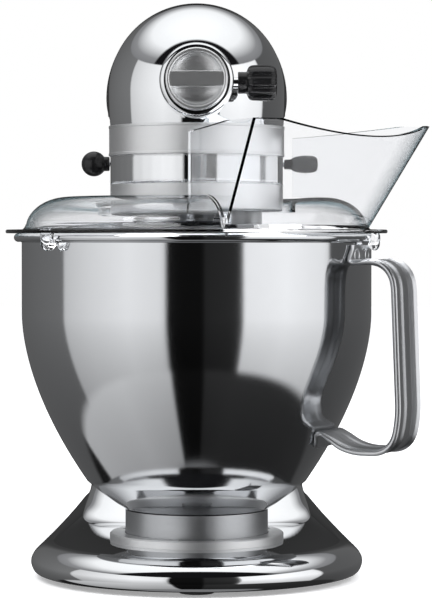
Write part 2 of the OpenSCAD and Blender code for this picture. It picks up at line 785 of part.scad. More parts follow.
module shaft_bush() {
    color("#b58a4a") on_axis() translate([0, 0, case_bottom - 1.5]) difference() {
        cylinder(r = 12, h = 9.5);
        translate([0, 0, -1]) cylinder(r = 6 + run_fit, h = 20);
    }
}

module planetary_carrier() {
    color("silver") on_axis() difference() {
        union() {
            translate([0, 0, drip_bottom + 0.6]) cylinder(r1 = case_r - 4.5, r2 = case_r - 3, h = carrier_h);
            translate([planet_offset, 0, drip_bottom - 8]) cylinder(r = beater_shaft_r + 3, h = 9);
            translate([0, 0, drip_bottom - 3]) cylinder(r1 = 10, r2 = 12, h = 4);
        }
        translate([0, 0, drip_bottom - 5]) cylinder(r = 6, h = 40);
        translate([planet_offset, 0, drip_bottom - 20]) cylinder(r = beater_shaft_r + run_fit, h = 60);
    }
}

module centre_shaft() {
    color("silver") on_axis() translate([0, 0, drip_bottom - 3])
        cylinder(r = 6, h = hub_z - mitre_r + 4 - drip_bottom + 3);
}

gear_z = 251;
gear_h = 10;

module centre_gear() {
    color("#b58a4a") on_axis() translate([0, 0, gear_z]) difference() {
        union() {
            rotate([0, 0, inter_turn]) linear_extrude(gear_h) gear_2d(centre_teeth, centre_module);
            translate([0, 0, -3]) cylinder(r = 12, h = gear_h + 6);
        }
        translate([0, 0, -5]) cylinder(r = 6, h = 30);
    }
}

// A straight bevel gear whose cone ends in the point the two shafts meet at
module mitre() {
    face = 7;
    linear_extrude(face, scale = (mitre_r - face) / mitre_r) gear_2d(mitre_teeth, mitre_module, 2 * tooth_play);
    translate([0, 0, -4]) cylinder(r = 11, h = 4);
}

module centre_bevel() {
    color("silver") on_axis() difference() {
        translate([0, 0, hub_z - mitre_r]) mitre();
        translate([0, 0, hub_z - 40]) cylinder(r = 6, h = 40);
    }
}

module hub_bevel() {
    color("silver") on_axis() difference() {
        translate([0, -mitre_r, hub_z]) rotate([-90, 0, 0]) rotate([0, 0, 180 / mitre_teeth]) mitre();
        rod_y(5, -60, 0, 0, hub_z);
    }
}

hub_drive_r = 11;
hub_drive_front = 52;
hub_spigot_r = 5;

module hub_drive() {
    color("silver") on_axis() difference() {
        union() {
            rod_y(hub_drive_r, -hub_drive_front, -mitre_r - 4, 0, hub_z);
            rod_y(hub_spigot_r, -mitre_r - 5, -mitre_r + 5, 0, hub_z);
        }
        translate([-socket_w / 2, -53, hub_z - socket_w / 2]) cube([socket_w, 17, socket_w]);
    }
}

module hub_bush() {
    color("#b58a4a") on_axis() difference() {
        rod_y(hub_bore_r, -50, -30, 0, hub_z);
        rod_y(hub_drive_r + run_fit, -60, -20, 0, hub_z);
    }
}

module beater_shaft() {
    color("silver") on_axis() translate([planet_offset, 0, 0]) difference() {
        union() {
            translate([0, 0, beater_shaft_end + 1])
                cylinder(r = beater_shaft_r, h = case_bottom - beater_shaft_end - 1.6);
            translate([0, 0, beater_shaft_end]) cylinder(r1 = beater_shaft_r - 1, r2 = beater_shaft_r, h = 1);
        }
        rod_x(1.6, -20, 20, 0, beater_shaft_end + 14);
    }
}

module beater_pin() {
    color("silver") on_axis() rod_x(1.6, planet_offset - 10, planet_offset + 10, 0, beater_shaft_end + 14);
}

module beater_pinion() {
    color("silver") on_axis() translate([planet_offset, 0, carrier_top + gap]) difference() {
        linear_extrude(ring_h - 2 * gap) gear_2d(planet_teeth, ring_module);
        translate([0, 0, -1]) cylinder(r = beater_shaft_r, h = 20);
    }
}

wheel_h = 9;
wheel_twist = tan(worm_angle) / wheel_r * wheel_h * 180 / PI;

module worm_wheel() {
    color("#b58a4a") on_axis() translate([inter_x, inter_y, head_z]) difference() {
        rotate([0, 0, 180 + 180 / wheel_teeth - wheel_twist / 2])
            linear_extrude(wheel_h, center = true, slices = 2, twist = -wheel_twist)
                gear_2d(wheel_teeth, wheel_module, 1.5 * tooth_play);
        translate([0, 0, -20]) cylinder(r = 4, h = 40);
    }
}

module idler_pinion() {
    color("silver") on_axis() translate([inter_x, inter_y, 0]) {
        translate([0, 0, gear_z - 1]) rotate([0, 0, 180 + inter_turn + 180 / inter_teeth])
            linear_extrude(gear_h + 2) gear_2d(inter_teeth, centre_module);
        translate([0, 0, case_bottom + head_wall]) cylinder(r = 4, h = 64);
    }
}

// Cross-section of the worm: each thread is straight-sided along the axis
function worm_pts() =
    let (thick = PI * wheel_module / 4 - tooth_play / 2, tip = 0.8 * wheel_module, root = 1.1 * wheel_module,
         u_tip = thick - tip * tan(20), u_root = thick + root * tan(20), turn = 360 / worm_lead)
    [for (k = [0:worm_starts - 1]) each concat(
        [for (p = [[worm_r - root, -u_root], [worm_r + tip, -u_tip], [worm_r + tip, 0],
                   [worm_r + tip, u_tip], [worm_r - root, u_root]])
            let (a = p[1] * turn + k * 360 / worm_starts) p[0] * [cos(a), sin(a)]],
        [for (f = [0.33, 0.67]) let (a = u_root * turn + f * (360 / worm_starts - 2 * u_root * turn)
                                         + k * 360 / worm_starts) (worm_r - root) * [cos(a), sin(a)]])];

worm_len = 24;
worm_twist = 360 * worm_len / worm_lead;

module worm() {
    color("silver") on_axis() translate([0, inter_y, head_z]) rotate([-90, 0, 0]) difference() {
        rotate([0, 0, -worm_twist / 2])
            linear_extrude(worm_len, center = true, slices = 24, twist = -worm_twist) polygon(worm_pts());
        translate([0, 0, -30]) cylinder(r = motor_shaft_r, h = 60);
    }
}

module idler_bracket() {
    color("silver") on_axis() difference() {
        translate([inter_x, inter_y, case_bottom + head_wall + 60]) union() {
            cylinder(r = 8, h = 6);
            translate([-8, 0, 0]) cube([16, bracket_y - inter_y, 6]);
        }
        translate([inter_x, inter_y, case_bottom]) cylinder(r = 4 + run_fit, h = 100);
    }
}

// ---------- Motor ----------

bracket_y = 56;
bracket_t = 5;
rear_bracket_y = 172;
bearing_r = 8;

module bracket(y, r) {
    difference() {
        rod_y(r, y, y + bracket_t, 0, head_z);
        rod_y(bearing_r, y - 1, y + bracket_t + 1, 0, head_z);
        for (a = [45:90:315]) rotate_about(a) rod_y(8, y - 1, y + bracket_t + 1, 0, head_z + 32);
    }
}

module rotate_about(a) { translate([0, 0, head_z]) rotate([0, a, 0]) translate([0, 0, -head_z]) children(); }

module bearing_bracket() { color("silver") on_axis() bracket(bracket_y, head_front_r - 1.2); }
module rear_bracket() { color("silver") on_axis() bracket(rear_bracket_y, head_front_r - 2); }

module motor_bearings() {
    color("#b58a4a") on_axis() for (y = [bracket_y, rear_bracket_y]) difference() {
        rod_y(bearing_r, y, y + bracket_t, 0, head_z);
        rod_y(motor_shaft_r + run_fit, y - 1, y + bracket_t + 1, 0, head_z);
    }
}

module motor_field() {
    color("#55585c") on_axis() {
        difference() {
            rod_y(field_r, motor_y - 26, motor_y + 22, 0, head_z);
            rod_y(armature_r + 0.8, 0, 200, 0, head_z);
        }
    }
}

module armature_core() {
    color("#7a6048") on_axis() difference() {
        rod_y(armature_r, motor_y - 2 - armature_len / 2, motor_y - 2 + armature_len / 2, 0, head_z);
        rod_y(motor_shaft_r, 0, 200, 0, head_z);
        for (a = [0:30:330]) rotate_about(a) translate([-1.5, 0, head_z + armature_r - 5]) cube([3, 200, 9]);
    }
}

shaft_front = 16;
shaft_rear = 180;

module motor_shaft() {
    color("silver") on_axis() rod_y(motor_shaft_r, shaft_front, shaft_rear, 0, head_z);
}

module commutator() {
    color("#b87333") on_axis() difference() {
        rod_y(14, brush_y - 8, brush_y + 8, 0, head_z);
        rod_y(motor_shaft_r, 0, 200, 0, head_z);
        for (a = [0:15:345]) rotate_about(a) translate([-0.4, 0, head_z + 13]) cube([0.8, 200, 3]);
    }
}

fan_r = 38;
fan_hub_r = 10;
fan_y = 66;

module cooling_fan() {
    color("#303030") on_axis() difference() {
        union() {
            rod_y(fan_r, fan_y, fan_y + 2, 0, head_z);
            rod_y(fan_hub_r, fan_y - 2, fan_y + 10, 0, head_z);
            for (a = [0:40:320]) rotate_about(a) translate([-0.8, fan_y + 1, head_z + fan_hub_r - 1])
                cube([1.6, 10, fan_r - fan_hub_r]);
        }
        rod_y(motor_shaft_r, 0, 200, 0, head_z);
    }
}

brush_cap_x = 51;

module brush_holders() {
    color("#b58a4a") on_axis() for (s = [0, 1]) mirror([s, 0, 0])
        rod_x(4.5, 14.2, brush_cap_x, brush_y, head_z);
}

module brush_caps() {
    color("#202020") on_axis() for (s = [0, 1]) mirror([s, 0, 0]) difference() {
        rod_x(brush_r, brush_cap_x, head_motor_r + 0.6, brush_y, head_z);
        translate([head_motor_r, brush_y, head_z]) cube([2, 1.6, 10], center = true);
    }
}

control_r = 34;
control_y = 182;
control_post_at = 28;

module speed_control() {
    color("#3a3a30") on_axis() {
        difference() {
            rod_y(control_r, control_y, control_y + 2, 0, head_z);
            for (x = [-20, 20]) rod_y(2, control_y - 2, control_y + 8, x, head_z);
        }
        for (x = [-control_post_at, control_post_at]) rod_y(3, rear_bracket_y + bracket_t, control_y, x, head_z);
    }
}

// ---------- Hub cap, attachment knob and levers ----------

hub_cap_back = hub_front + gap;
hub_cap_t = 7.5;

module hub_cap() {
    color("gainsboro") on_axis() {
        difference() {
            union() {
                rod_y(hub_cap_r, -hub_cap_back - hub_cap_t + 1, -hub_cap_back, 0, hub_z);
                translate([0, -hub_cap_back - hub_cap_t + 1, hub_z]) rotate([90, 0, 0])
                    cylinder(r1 = hub_cap_r, r2 = hub_cap_r - 1, h = 1);
            }
            rod_y(hub_cap_r - 2.4, -200, -hub_cap_back - hub_cap_t + 4, 0, hub_z);
        }
        // Raised grip across the cap
        intersection() {
            rod_y(hub_cap_r - 2, -hub_cap_back - hub_cap_t, -hub_cap_back, 0, hub_z);
            translate([-30, -hub_cap_back - hub_cap_t, hub_z - 4.8]) cube([60, hub_cap_t, 9.6]);
        }
        rod_y(hub_bore_r - 0.3, -hub_cap_back - 1, -hub_front + 6, 0, hub_z);
    }
}

knob_x = 24;

module knob_screw() {
    color("silver") on_axis() rod_x(3.15, hub_bore_r + 0.4, knob_x + 8, knob_y, hub_z - 1);
}

module knob_grip() {
    color("#1c1c1c") on_axis() translate([knob_x, knob_y, hub_z - 1]) rotate([0, 90, 0]) difference() {
        intersection() {
            rotate_extrude() polygon(concat([[0, 0], [6.4, 0], [6.4, 5], [8, 5.6], [knob_r, 7]],
                [for (a = [0:15:90]) [knob_r - 4 + 4 * cos(a), 18 + 4 * sin(a)]], [[0, 22.6]]));
            union() {
                cylinder(r = 7.4, h = 30);
                for (a = [0:45:315]) rotate([0, 0, a]) translate([7.2, 0, 0]) cylinder(r = 3.4, h = 30);
            }
        }
        translate([0, 0, -1]) cylinder(r = 3.15, h = 9);
    }
}

module lever_rod(side, end_x, link) {
    mirror([side < 0 ? 1 : 0, 0, 0]) {
        rod_x(lever_rod_r, slider_x + 2, end_x, lever_y, lever_z);
        translate([slider_x, lever_y - 5, lever_z - 2]) cube([5, 10, 5]);
        translate([slider_x, lever_y, lever_z - 1]) cube([2.5, link, 5]);
    }
}

// A knob turned about the rod, from [distance along the rod, radius] points
module lever_knob(side, start_x, pts) {
    mirror([side < 0 ? 1 : 0, 0, 0]) translate([start_x, lever_y, lever_z]) rotate([0, 90, 0]) difference() {
        rotate_extrude() polygon([for (p = pts) [p[1], p[0]]]);
        translate([0, 0, -1]) cylinder(r = lever_rod_r, h = 7);
    }
}

module speed_lever_rod() {
    color("silver") on_axis() lever_rod(-1, 60, 44);
}

module speed_lever_knob() {
    r = speed_knob_r;
    color("#1c1c1c") on_axis() lever_knob(-1, 56, concat(
        [[0, 0], [0, r * 0.55], [2.4, r * 0.6], [3, r * 0.82], [5, r * 0.97], [10, r]],
        [for (a = [0:15:90]) [14 + 4 * sin(a), r - 4 + 4 * cos(a)]], [[18, 0]]));
}

module lock_lever_rod() {
    color("silver") on_axis() lever_rod(1, 60, 16);
}

module lock_lever_knob() {
    r = lock_knob_r;
    color("#1c1c1c") on_axis() lever_knob(1, 56.5, concat(
        [[0, 0], [0, r * 0.8], [6.5, r * 0.8], [7, r * 0.5], [10, r * 0.5], [11, r * 0.9], [13, r]],
        [for (a = [0:15:90]) [19 + 3 * sin(a), r - 3 + 3 * cos(a)]], [[22, 0]]));
}

base();
feet();
clamp_plate();
clamp_screws();
pedestal();
pedestal_bolts();
hinge_pin();
upper_housing();
lower_housing();
rear_cover();
rear_cover_screw();
trim_band();
drip_ring();
ring_gear();
shaft_bush();
bearing_bracket();
motor_field();
rear_bracket();
motor_bearings();
brush_holders();
brush_caps();
speed_control();
cord_gland();
hub_bush();
idler_bracket();
planetary_carrier();
centre_shaft();
centre_gear();
centre_bevel();
beater_shaft();
beater_pinion();
beater_pin();
worm_wheel();
idler_pinion();
motor_shaft();
worm();
armature_core();
commutator();
cooling_fan();
hub_drive();
hub_bevel();
hub_cap();
knob_screw();
knob_grip();
speed_lever_rod();
speed_lever_knob();
lock_lever_rod();
lock_lever_knob();
bowl_shell();
bowl_foot();
bowl_handle();
shield_collar();
pouring_chute();
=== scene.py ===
"""Look of a stand mixer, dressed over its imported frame.

Lengths are in millimetres from the bowl's axis, with the front towards -Y, until a
mesh is made from them in metres.
"""

from __future__ import annotations

import json
import logging
import math
from dataclasses import dataclass, field, replace
from typing import Callable, Iterable, Sequence

import bmesh
import bpy
from mathutils import Euler, Matrix, Vector

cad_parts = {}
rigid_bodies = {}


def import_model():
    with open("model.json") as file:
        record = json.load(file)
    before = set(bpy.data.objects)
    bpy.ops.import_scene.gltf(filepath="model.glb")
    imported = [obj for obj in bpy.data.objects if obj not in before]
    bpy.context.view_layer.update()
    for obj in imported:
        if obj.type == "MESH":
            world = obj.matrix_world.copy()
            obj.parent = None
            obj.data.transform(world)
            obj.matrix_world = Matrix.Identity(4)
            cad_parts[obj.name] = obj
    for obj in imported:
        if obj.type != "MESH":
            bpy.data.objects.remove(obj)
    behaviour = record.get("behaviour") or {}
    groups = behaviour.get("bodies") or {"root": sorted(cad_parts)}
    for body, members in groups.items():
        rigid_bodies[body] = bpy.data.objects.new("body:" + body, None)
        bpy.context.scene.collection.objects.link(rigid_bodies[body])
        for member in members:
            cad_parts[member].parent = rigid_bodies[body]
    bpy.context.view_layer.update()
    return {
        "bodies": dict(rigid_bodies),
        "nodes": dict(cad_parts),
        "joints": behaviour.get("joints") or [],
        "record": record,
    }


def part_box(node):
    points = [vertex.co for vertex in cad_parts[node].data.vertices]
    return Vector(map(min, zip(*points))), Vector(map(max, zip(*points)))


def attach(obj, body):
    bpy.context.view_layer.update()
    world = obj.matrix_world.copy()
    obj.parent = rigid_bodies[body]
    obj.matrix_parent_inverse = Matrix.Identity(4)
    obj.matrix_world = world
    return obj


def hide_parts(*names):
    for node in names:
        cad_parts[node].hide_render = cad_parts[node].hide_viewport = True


LOG = logging.getLogger("mixer")
MM = 0.001
# Angle in degrees above which an edge is drawn sharp
SHARP = 32.0
Point = Sequence[float]
Flat = tuple[float, float]
Solid = tuple[float, float, float]
Colour = tuple[float, float, float]


# ---------- Node helpers ----------


class Graph:
    """Small helper that adds nodes to a tree and links them.

    Args:
        tree: Node tree of a material, a world or a group.
    """

    def __init__(self, tree: bpy.types.NodeTree) -> None:
        """Keep the tree."""
        self.tree = tree

    def node(self, kind: str, **settings: object) -> bpy.types.Node:
        """Add a node.

        Args:
            kind: Blender's type name without the leading "ShaderNode", or a full name.
            settings: Node properties to set.

        Returns:
            The new node.
        """
        full = kind if kind.startswith("Node") else "ShaderNode" + kind
        made = self.tree.nodes.new(full)
        for key, value in settings.items():
            setattr(made, key, value)
        return made

    def feed(self, socket: bpy.types.NodeSocket, value: object) -> None:
        """Link a socket to another, or give it a plain value.

        Args:
            socket: Input to fill.
            value: An output socket, a number or a tuple.
        """
        if isinstance(value, bpy.types.NodeSocket):
            self.tree.links.new(value, socket)
        elif isinstance(value, tuple) and len(value) == 3 and socket.type == "RGBA":
            socket.default_value = (*value, 1.0)
        else:
            socket.default_value = value

    def math(self, operation: str, *values: object, clamp: bool = False) -> bpy.types.NodeSocket:
        """Add a Math node.

        Args:
            operation: Blender's name of the operation.
            values: Numbers or sockets for its inputs, in order.
            clamp: Keep the result between 0 and 1.

        Returns:
            The result.
        """
        made = self.node("Math", operation=operation, use_clamp=clamp)
        for index, value in enumerate(values):
            self.feed(made.inputs[index], value)
        return made.outputs[0]

    def mix(self, factor: object, first: object, second: object) -> bpy.types.NodeSocket:
        """Mix two colours.

        Args:
            factor: 0 for the first colour, 1 for the second.
            first: A colour or a socket.
            second: A colour or a socket.

        Returns:
            The mixed colour.
        """
        made = self.node("Mix", data_type="RGBA")
        self.feed(made.inputs[0], factor)
        self.feed(made.inputs[6], first)
        self.feed(made.inputs[7], second)
        return made.outputs[2]

    def ramp(self, factor: object, stops: Iterable[tuple[float, Colour]]) -> bpy.types.NodeSocket:
        """Add a colour ramp.

        Args:
            factor: Number or socket that is looked up.
            stops: Place and colour of each stop.

        Returns:
            The ramp's colour.
        """
        made = self.node("ValToRGB")
        band = made.color_ramp
        rows = sorted(stops)
        band.elements[0].position, band.elements[1].position = rows[0][0], rows[-1][0]
        band.elements[0].color, band.elements[1].color = (*rows[0][1], 1), (*rows[-1][1], 1)
        for position, colour in rows[1:-1]:
            band.elements.new(position).color = (*colour, 1)
        self.feed(made.inputs[0], factor)
        return made.outputs[0]

    def noise(self, vector: object, scale: object, detail: float, rough: float = 0.5) -> bpy.types.NodeSocket:
        """Add a noise texture.

        Args:
            vector: Where the noise is looked up.
            scale: Its density.
            detail: Number of finer layers.
            rough: Strength of the finer layers.

        Returns:
            The noise's value.
        """
        made = self.node("TexNoise")
        self.feed(made.inputs["Vector"], vector)
        self.feed(made.inputs["Scale"], scale)
        self.feed(made.inputs["Detail"], detail)
        self.feed(made.inputs["Roughness"], rough)
        return made.outputs["Fac"]

    def remap(self, value: object, low: float, high: float, to_low: float = 0.0,
              to_high: float = 1.0) -> bpy.types.NodeSocket:
        """Map one range onto another and clamp the result.

        Args:
            value: Number or socket to map.
            low: Start of its range.
            high: End of its range.
            to_low: What the start becomes.
            to_high: What the end becomes.

        Returns:
            The mapped value.
        """
        made = self.node("MapRange")
        for index, item in enumerate((value, low, high, to_low, to_high)):
            self.feed(made.inputs[index], item)
        return made.outputs[0]


class EffectLibrary:
    """Shader effects that many finishes share, each one a node group."""

    def __init__(self) -> None:
        """Build every group once."""
        self.grain = self._group("Grain", {"Stretch": "Vector", "Scale": "Float"}, self._grain)
        self.smudge = self._group("Smudge", {"Scale": "Float", "Cover": "Float"}, self._smudge)
        self.edge = self._group("EdgeWear", {"Radius": "Float", "Breakup": "Float"}, self._edge)
        self.scratch = self._group("Scratches", {"Scale": "Float"}, self._scratch)
        self.skin = self._group("CastSkin", {"Scale": "Float"}, self._skin)

    @staticmethod
    def _group(name: str, inputs: dict[str, str],
               fill: Callable[[Graph, bpy.types.Node], object]) -> bpy.types.NodeTree:
        """Make a node group with the named inputs and one output, Value.

        Args:
            name: The group's name.
            inputs: Name and kind of each input.
            fill: Function that builds the nodes and returns the output socket.

        Returns:
            The node group.
        """
        tree = bpy.data.node_groups.new(name, "ShaderNodeTree")
        for label, kind in inputs.items():
            tree.interface.new_socket(name=label, in_out="INPUT", socket_type="NodeSocket" + kind)
        tree.interface.new_socket(name="Value", in_out="OUTPUT", socket_type="NodeSocketFloat")
        graph = Graph(tree)
        source = graph.node("NodeGroupInput")
        graph.feed(graph.node("NodeGroupOutput").inputs[0], fill(graph, source))
        return tree

    @staticmethod
    def _grain(graph: Graph, source: bpy.types.Node) -> bpy.types.NodeSocket:
        """Fine parallel marks, long where the stretch is small.

        Args:
            graph: The group's tree.
            source: Its input node.

        Returns:
            The mask.
        """
        mapping = graph.node("Mapping")
        graph.feed(mapping.inputs["Vector"], graph.node("TexCoord").outputs["Object"])
        graph.feed(mapping.inputs["Scale"], source.outputs["Stretch"])
        coarse = graph.noise(mapping.outputs[0], source.outputs["Scale"], 3.0, 0.6)
        double = graph.math("MULTIPLY", source.outputs["Scale"], 3.7)
        fine = graph.noise(mapping.outputs[0], double, 2.0, 0.5)
        return graph.math("MULTIPLY_ADD", fine, 0.45, graph.math("MULTIPLY", coarse, 0.55))

    @staticmethod
    def _smudge(graph: Graph, source: bpy.types.Node) -> bpy.types.NodeSocket:
        """Patches left by hands and cloths.

        Args:
            graph: The group's tree.
            source: Its input node.

        Returns:
            The mask.
        """
        place = graph.node("TexCoord").outputs["Object"]
        broad = graph.noise(place, source.outputs["Scale"], 4.0, 0.62)
        low = graph.math("SUBTRACT", 0.72, source.outputs["Cover"])
        above = graph.math("SUBTRACT", broad, low)
        soft = graph.math("MULTIPLY", above, 4.0, clamp=True)
        streak = graph.noise(place, graph.math("MULTIPLY", source.outputs["Scale"], 9.0), 3.0, 0.7)
        return graph.math("MULTIPLY", soft, graph.remap(streak, 0.3, 0.75, 0.35, 1.0))

    @staticmethod
    def _edge(graph: Graph, source: bpy.types.Node) -> bpy.types.NodeSocket:
        """Worn corners: strong where the rounded normal leaves the face's own.

        Args:
            graph: The group's tree.
            source: Its input node.

        Returns:
            The mask.
        """
        bevel = graph.node("Bevel", samples=4)
        graph.feed(bevel.inputs["Radius"], source.outputs["Radius"])
        dot = graph.node("VectorMath", operation="DOT_PRODUCT")
        graph.feed(dot.inputs[0], bevel.outputs[0])
        graph.feed(dot.inputs[1], graph.node("NewGeometry").outputs["Normal"])
        worn = graph.remap(graph.math("SUBTRACT", 1.0, dot.outputs["Value"]), 0.01, 0.22)
        rub = graph.noise(graph.node("TexCoord").outputs["Object"], 190.0, 4.0, 0.65)
        loss = graph.math("MULTIPLY", graph.remap(rub, 0.35, 0.62), source.outputs["Breakup"])
        return graph.math("MULTIPLY", worn, graph.math("SUBTRACT", 1.0, loss))

    @staticmethod
    def _scratch(graph: Graph, source: bpy.types.Node) -> bpy.types.NodeSocket:
        """Sparse hairline scratches in several directions.

        Args:
            graph: The group's tree.
            source: Its input node.

        Returns:
            The mask.
        """
        total: object = 0.0
        for turn in ((0.3, 0.2, 0.5), (1.4, 0.6, 2.2)):
            mapping = graph.node("Mapping")
            graph.feed(mapping.inputs["Vector"], graph.node("TexCoord").outputs["Object"])
            mapping.inputs["Rotation"].default_value = turn
            mapping.inputs["Scale"].default_value = (1.0, 14.0, 1.0)
            line = graph.noise(mapping.outputs[0], source.outputs["Scale"], 2.0, 0.4)
            total = graph.math("ADD", graph.remap(line, 0.69, 0.76), total)
        return graph.math("MINIMUM", total, 1.0)

    @staticmethod
    def _skin(graph: Graph, source: bpy.types.Node) -> bpy.types.NodeSocket:
        """Slight unevenness of a cast or moulded surface.

        Args:
            graph: The group's tree.
            source: Its input node.

        Returns:
            The mask.
        """
        place = graph.node("TexCoord").outputs["Object"]
        broad = graph.noise(place, source.outputs["Scale"], 2.0, 0.5)
        fine = graph.noise(place, graph.math("MULTIPLY", source.outputs["Scale"], 11.0), 3.0, 0.6)
        return graph.math("MULTIPLY_ADD", fine, 0.3, graph.math("MULTIPLY", broad, 0.7))


@dataclass(frozen=True)
class Finish:
    """One surface finish.

    Attributes:
        name: Material name.
        colour: Main colour.
        tint: Colour of handled and older patches.
        worn: Colour of rubbed corners.
        metallic: 1 for metal, 0 for the rest.
        roughness: Roughness of the clean surface.
        smudge_rough: Roughness that a smudge adds.
        smudge_cover: Share of the surface that is smudged.
        wear: Strength of the rubbed corners.
        wear_radius: Reach of the rubbed corners, in metres.
        grain_stretch: Density of the fine marks along each axis.
        grain_bump: Height of the fine marks.
        grain_rough: Roughness that the fine marks add.
        skin_scale: Size of the cast or moulded unevenness.
        skin_bump: Height of that unevenness.
        scratches: Strength of the scratches.
        transmission: 1 for clear plastic.
        ior: Index of refraction.
        coat: Weight of a clear coat.
        rim: Colour painted on a clear wall where it is seen along its surface: painted shade that stands in
            for the dark surroundings seen through its edge.
        soften: Radius over which the surface's facets are blended, in metres.
    """

    name: str
    colour: Colour
    tint: Colour
    worn: Colour = (0.8, 0.8, 0.8)
    metallic: float = 1.0
    roughness: float = 0.2
    smudge_rough: float = 0.08
    smudge_cover: float = 0.2
    wear: float = 0.3
    wear_radius: float = 0.0006
    grain_stretch: Colour = (20.0, 20.0, 20.0)
    grain_bump: float = 0.0
    grain_rough: float = 0.0
    skin_scale: float = 30.0
    skin_bump: float = 0.0
    scratches: float = 0.0
    transmission: float = 0.0
    ior: float = 1.5
    coat: float = 0.0
    # Painted dark edge of clear walls seen edge-on
    rim: Colour | None = None
    soften: float = 0.0


class MaterialShop:
    """Makes each finish's material once.

    Args:
        effects: The shared node groups.
    """

    # Densities of the effects
    SMUDGE_SCALE = 9.0
    GRAIN_SCALE = 60.0
    SCRATCH_SCALE = 130.0
    # How far worn edges are broken up
    EDGE_BREAKUP = 0.7
    # How strongly smudges and unevenness bring out the tint
    SMUDGE_TINT = 0.6
    SKIN_TINT = 0.35
    # Roughness that edges and scratches add, and how deep a scratch is
    EDGE_ROUGH = 0.12
    SCRATCH_ROUGH = 0.25
    SCRATCH_DEPTH = 0.3
    # Facing between which a clear wall takes its rim colour, a painted dark edge
    PAINTED_EDGE_FACING = (0.6, 0.84)
    # Height in metres that a bump of 1 stands for
    BUMP_HEIGHT = 0.0001
    COAT_ROUGHNESS = 0.04

    def __init__(self, effects: EffectLibrary) -> None:
        """Keep the effects and start with no material."""
        self.effects = effects
        self.made: dict[str, bpy.types.Material] = {}

    def get(self, finish: Finish) -> bpy.types.Material:
        """Return a finish's material, made when it is first asked for.

        Args:
            finish: The finish.

        Returns:
            Its material.
        """
        if finish.name not in self.made:
            self.made[finish.name] = self._build(finish)
        return self.made[finish.name]

    def _use(self, graph: Graph, group: bpy.types.NodeTree, **values: object) -> bpy.types.NodeSocket:
        """Put a shared effect into a material.

        Args:
            graph: The material's tree.
            group: The effect.
            values: What its inputs get, by name.

        Returns:
            The effect's value.
        """
        made = graph.node("Group")
        made.node_tree = group
        for name, value in values.items():
            graph.feed(made.inputs[name], value)
        return made.outputs[0]

    def _build(self, finish: Finish) -> bpy.types.Material:
        """Make the node tree of one finish.

        Args:
            finish: The finish.

        Returns:
            Its material.
        """
        material = bpy.data.materials.new(finish.name)
        material.use_nodes = True
        graph = Graph(material.node_tree)
        shader = material.node_tree.nodes["Principled BSDF"]
        effects = self.effects
        smudge = self._use(graph, effects.smudge, Scale=self.SMUDGE_SCALE, Cover=finish.smudge_cover)
        edge = self._use(graph, effects.edge, Radius=finish.wear_radius, Breakup=self.EDGE_BREAKUP)
        grain = self._use(graph, effects.grain, Stretch=finish.grain_stretch, Scale=self.GRAIN_SCALE)
        skin = self._use(graph, effects.skin, Scale=finish.skin_scale)
        scratch = self._use(graph, effects.scratch, Scale=self.SCRATCH_SCALE)

        base = graph.mix(graph.math("MULTIPLY", smudge, self.SMUDGE_TINT), finish.colour, finish.tint)
        base = graph.mix(graph.remap(skin, 0.35, 0.7, 0.0, self.SKIN_TINT), base, finish.tint)
        base = graph.mix(graph.math("MULTIPLY", edge, finish.wear), base, finish.worn)
        # Painted shade: a clear wall seen edge-on takes the dark rim colour, standing in for dark
        # surroundings seen through it
        if finish.rim:
            facing = graph.node("LayerWeight")
            facing.inputs["Blend"].default_value = 0.5
            along = graph.remap(facing.outputs["Facing"], *self.PAINTED_EDGE_FACING)
            base = graph.mix(along, base, finish.rim)
        graph.feed(shader.inputs["Base Color"], base)

        rough = graph.math("MULTIPLY_ADD", smudge, finish.smudge_rough, finish.roughness)
        rough = graph.math("MULTIPLY_ADD", grain, finish.grain_rough, rough)
        rough = graph.math("MULTIPLY_ADD", edge, self.EDGE_ROUGH * finish.wear, rough)
        rough = graph.math("MULTIPLY_ADD", scratch, self.SCRATCH_ROUGH * finish.scratches, rough, clamp=True)
        graph.feed(shader.inputs["Roughness"], rough)

        height = graph.math("MULTIPLY", grain, finish.grain_bump)
        height = graph.math("MULTIPLY_ADD", skin, finish.skin_bump, height)
        height = graph.math("MULTIPLY_ADD", scratch, -self.SCRATCH_DEPTH * finish.scratches, height)
        bump = graph.node("Bump")
        bump.inputs["Strength"].default_value = 1.0
        bump.inputs["Distance"].default_value = self.BUMP_HEIGHT
        graph.feed(bump.inputs["Height"], height)
        if finish.soften:
            blended = graph.node("Bevel", samples=8)
            blended.inputs["Radius"].default_value = finish.soften
            graph.feed(bump.inputs["Normal"], blended.outputs[0])
        graph.feed(shader.inputs["Normal"], bump.outputs[0])

        shader.inputs["Metallic"].default_value = finish.metallic
        shader.inputs["Transmission Weight"].default_value = finish.transmission
        shader.inputs["IOR"].default_value = finish.ior
        shader.inputs["Coat Weight"].default_value = finish.coat
        shader.inputs["Coat Roughness"].default_value = self.COAT_ROUGHNESS
        return material


# ---------- Mesh helpers ----------


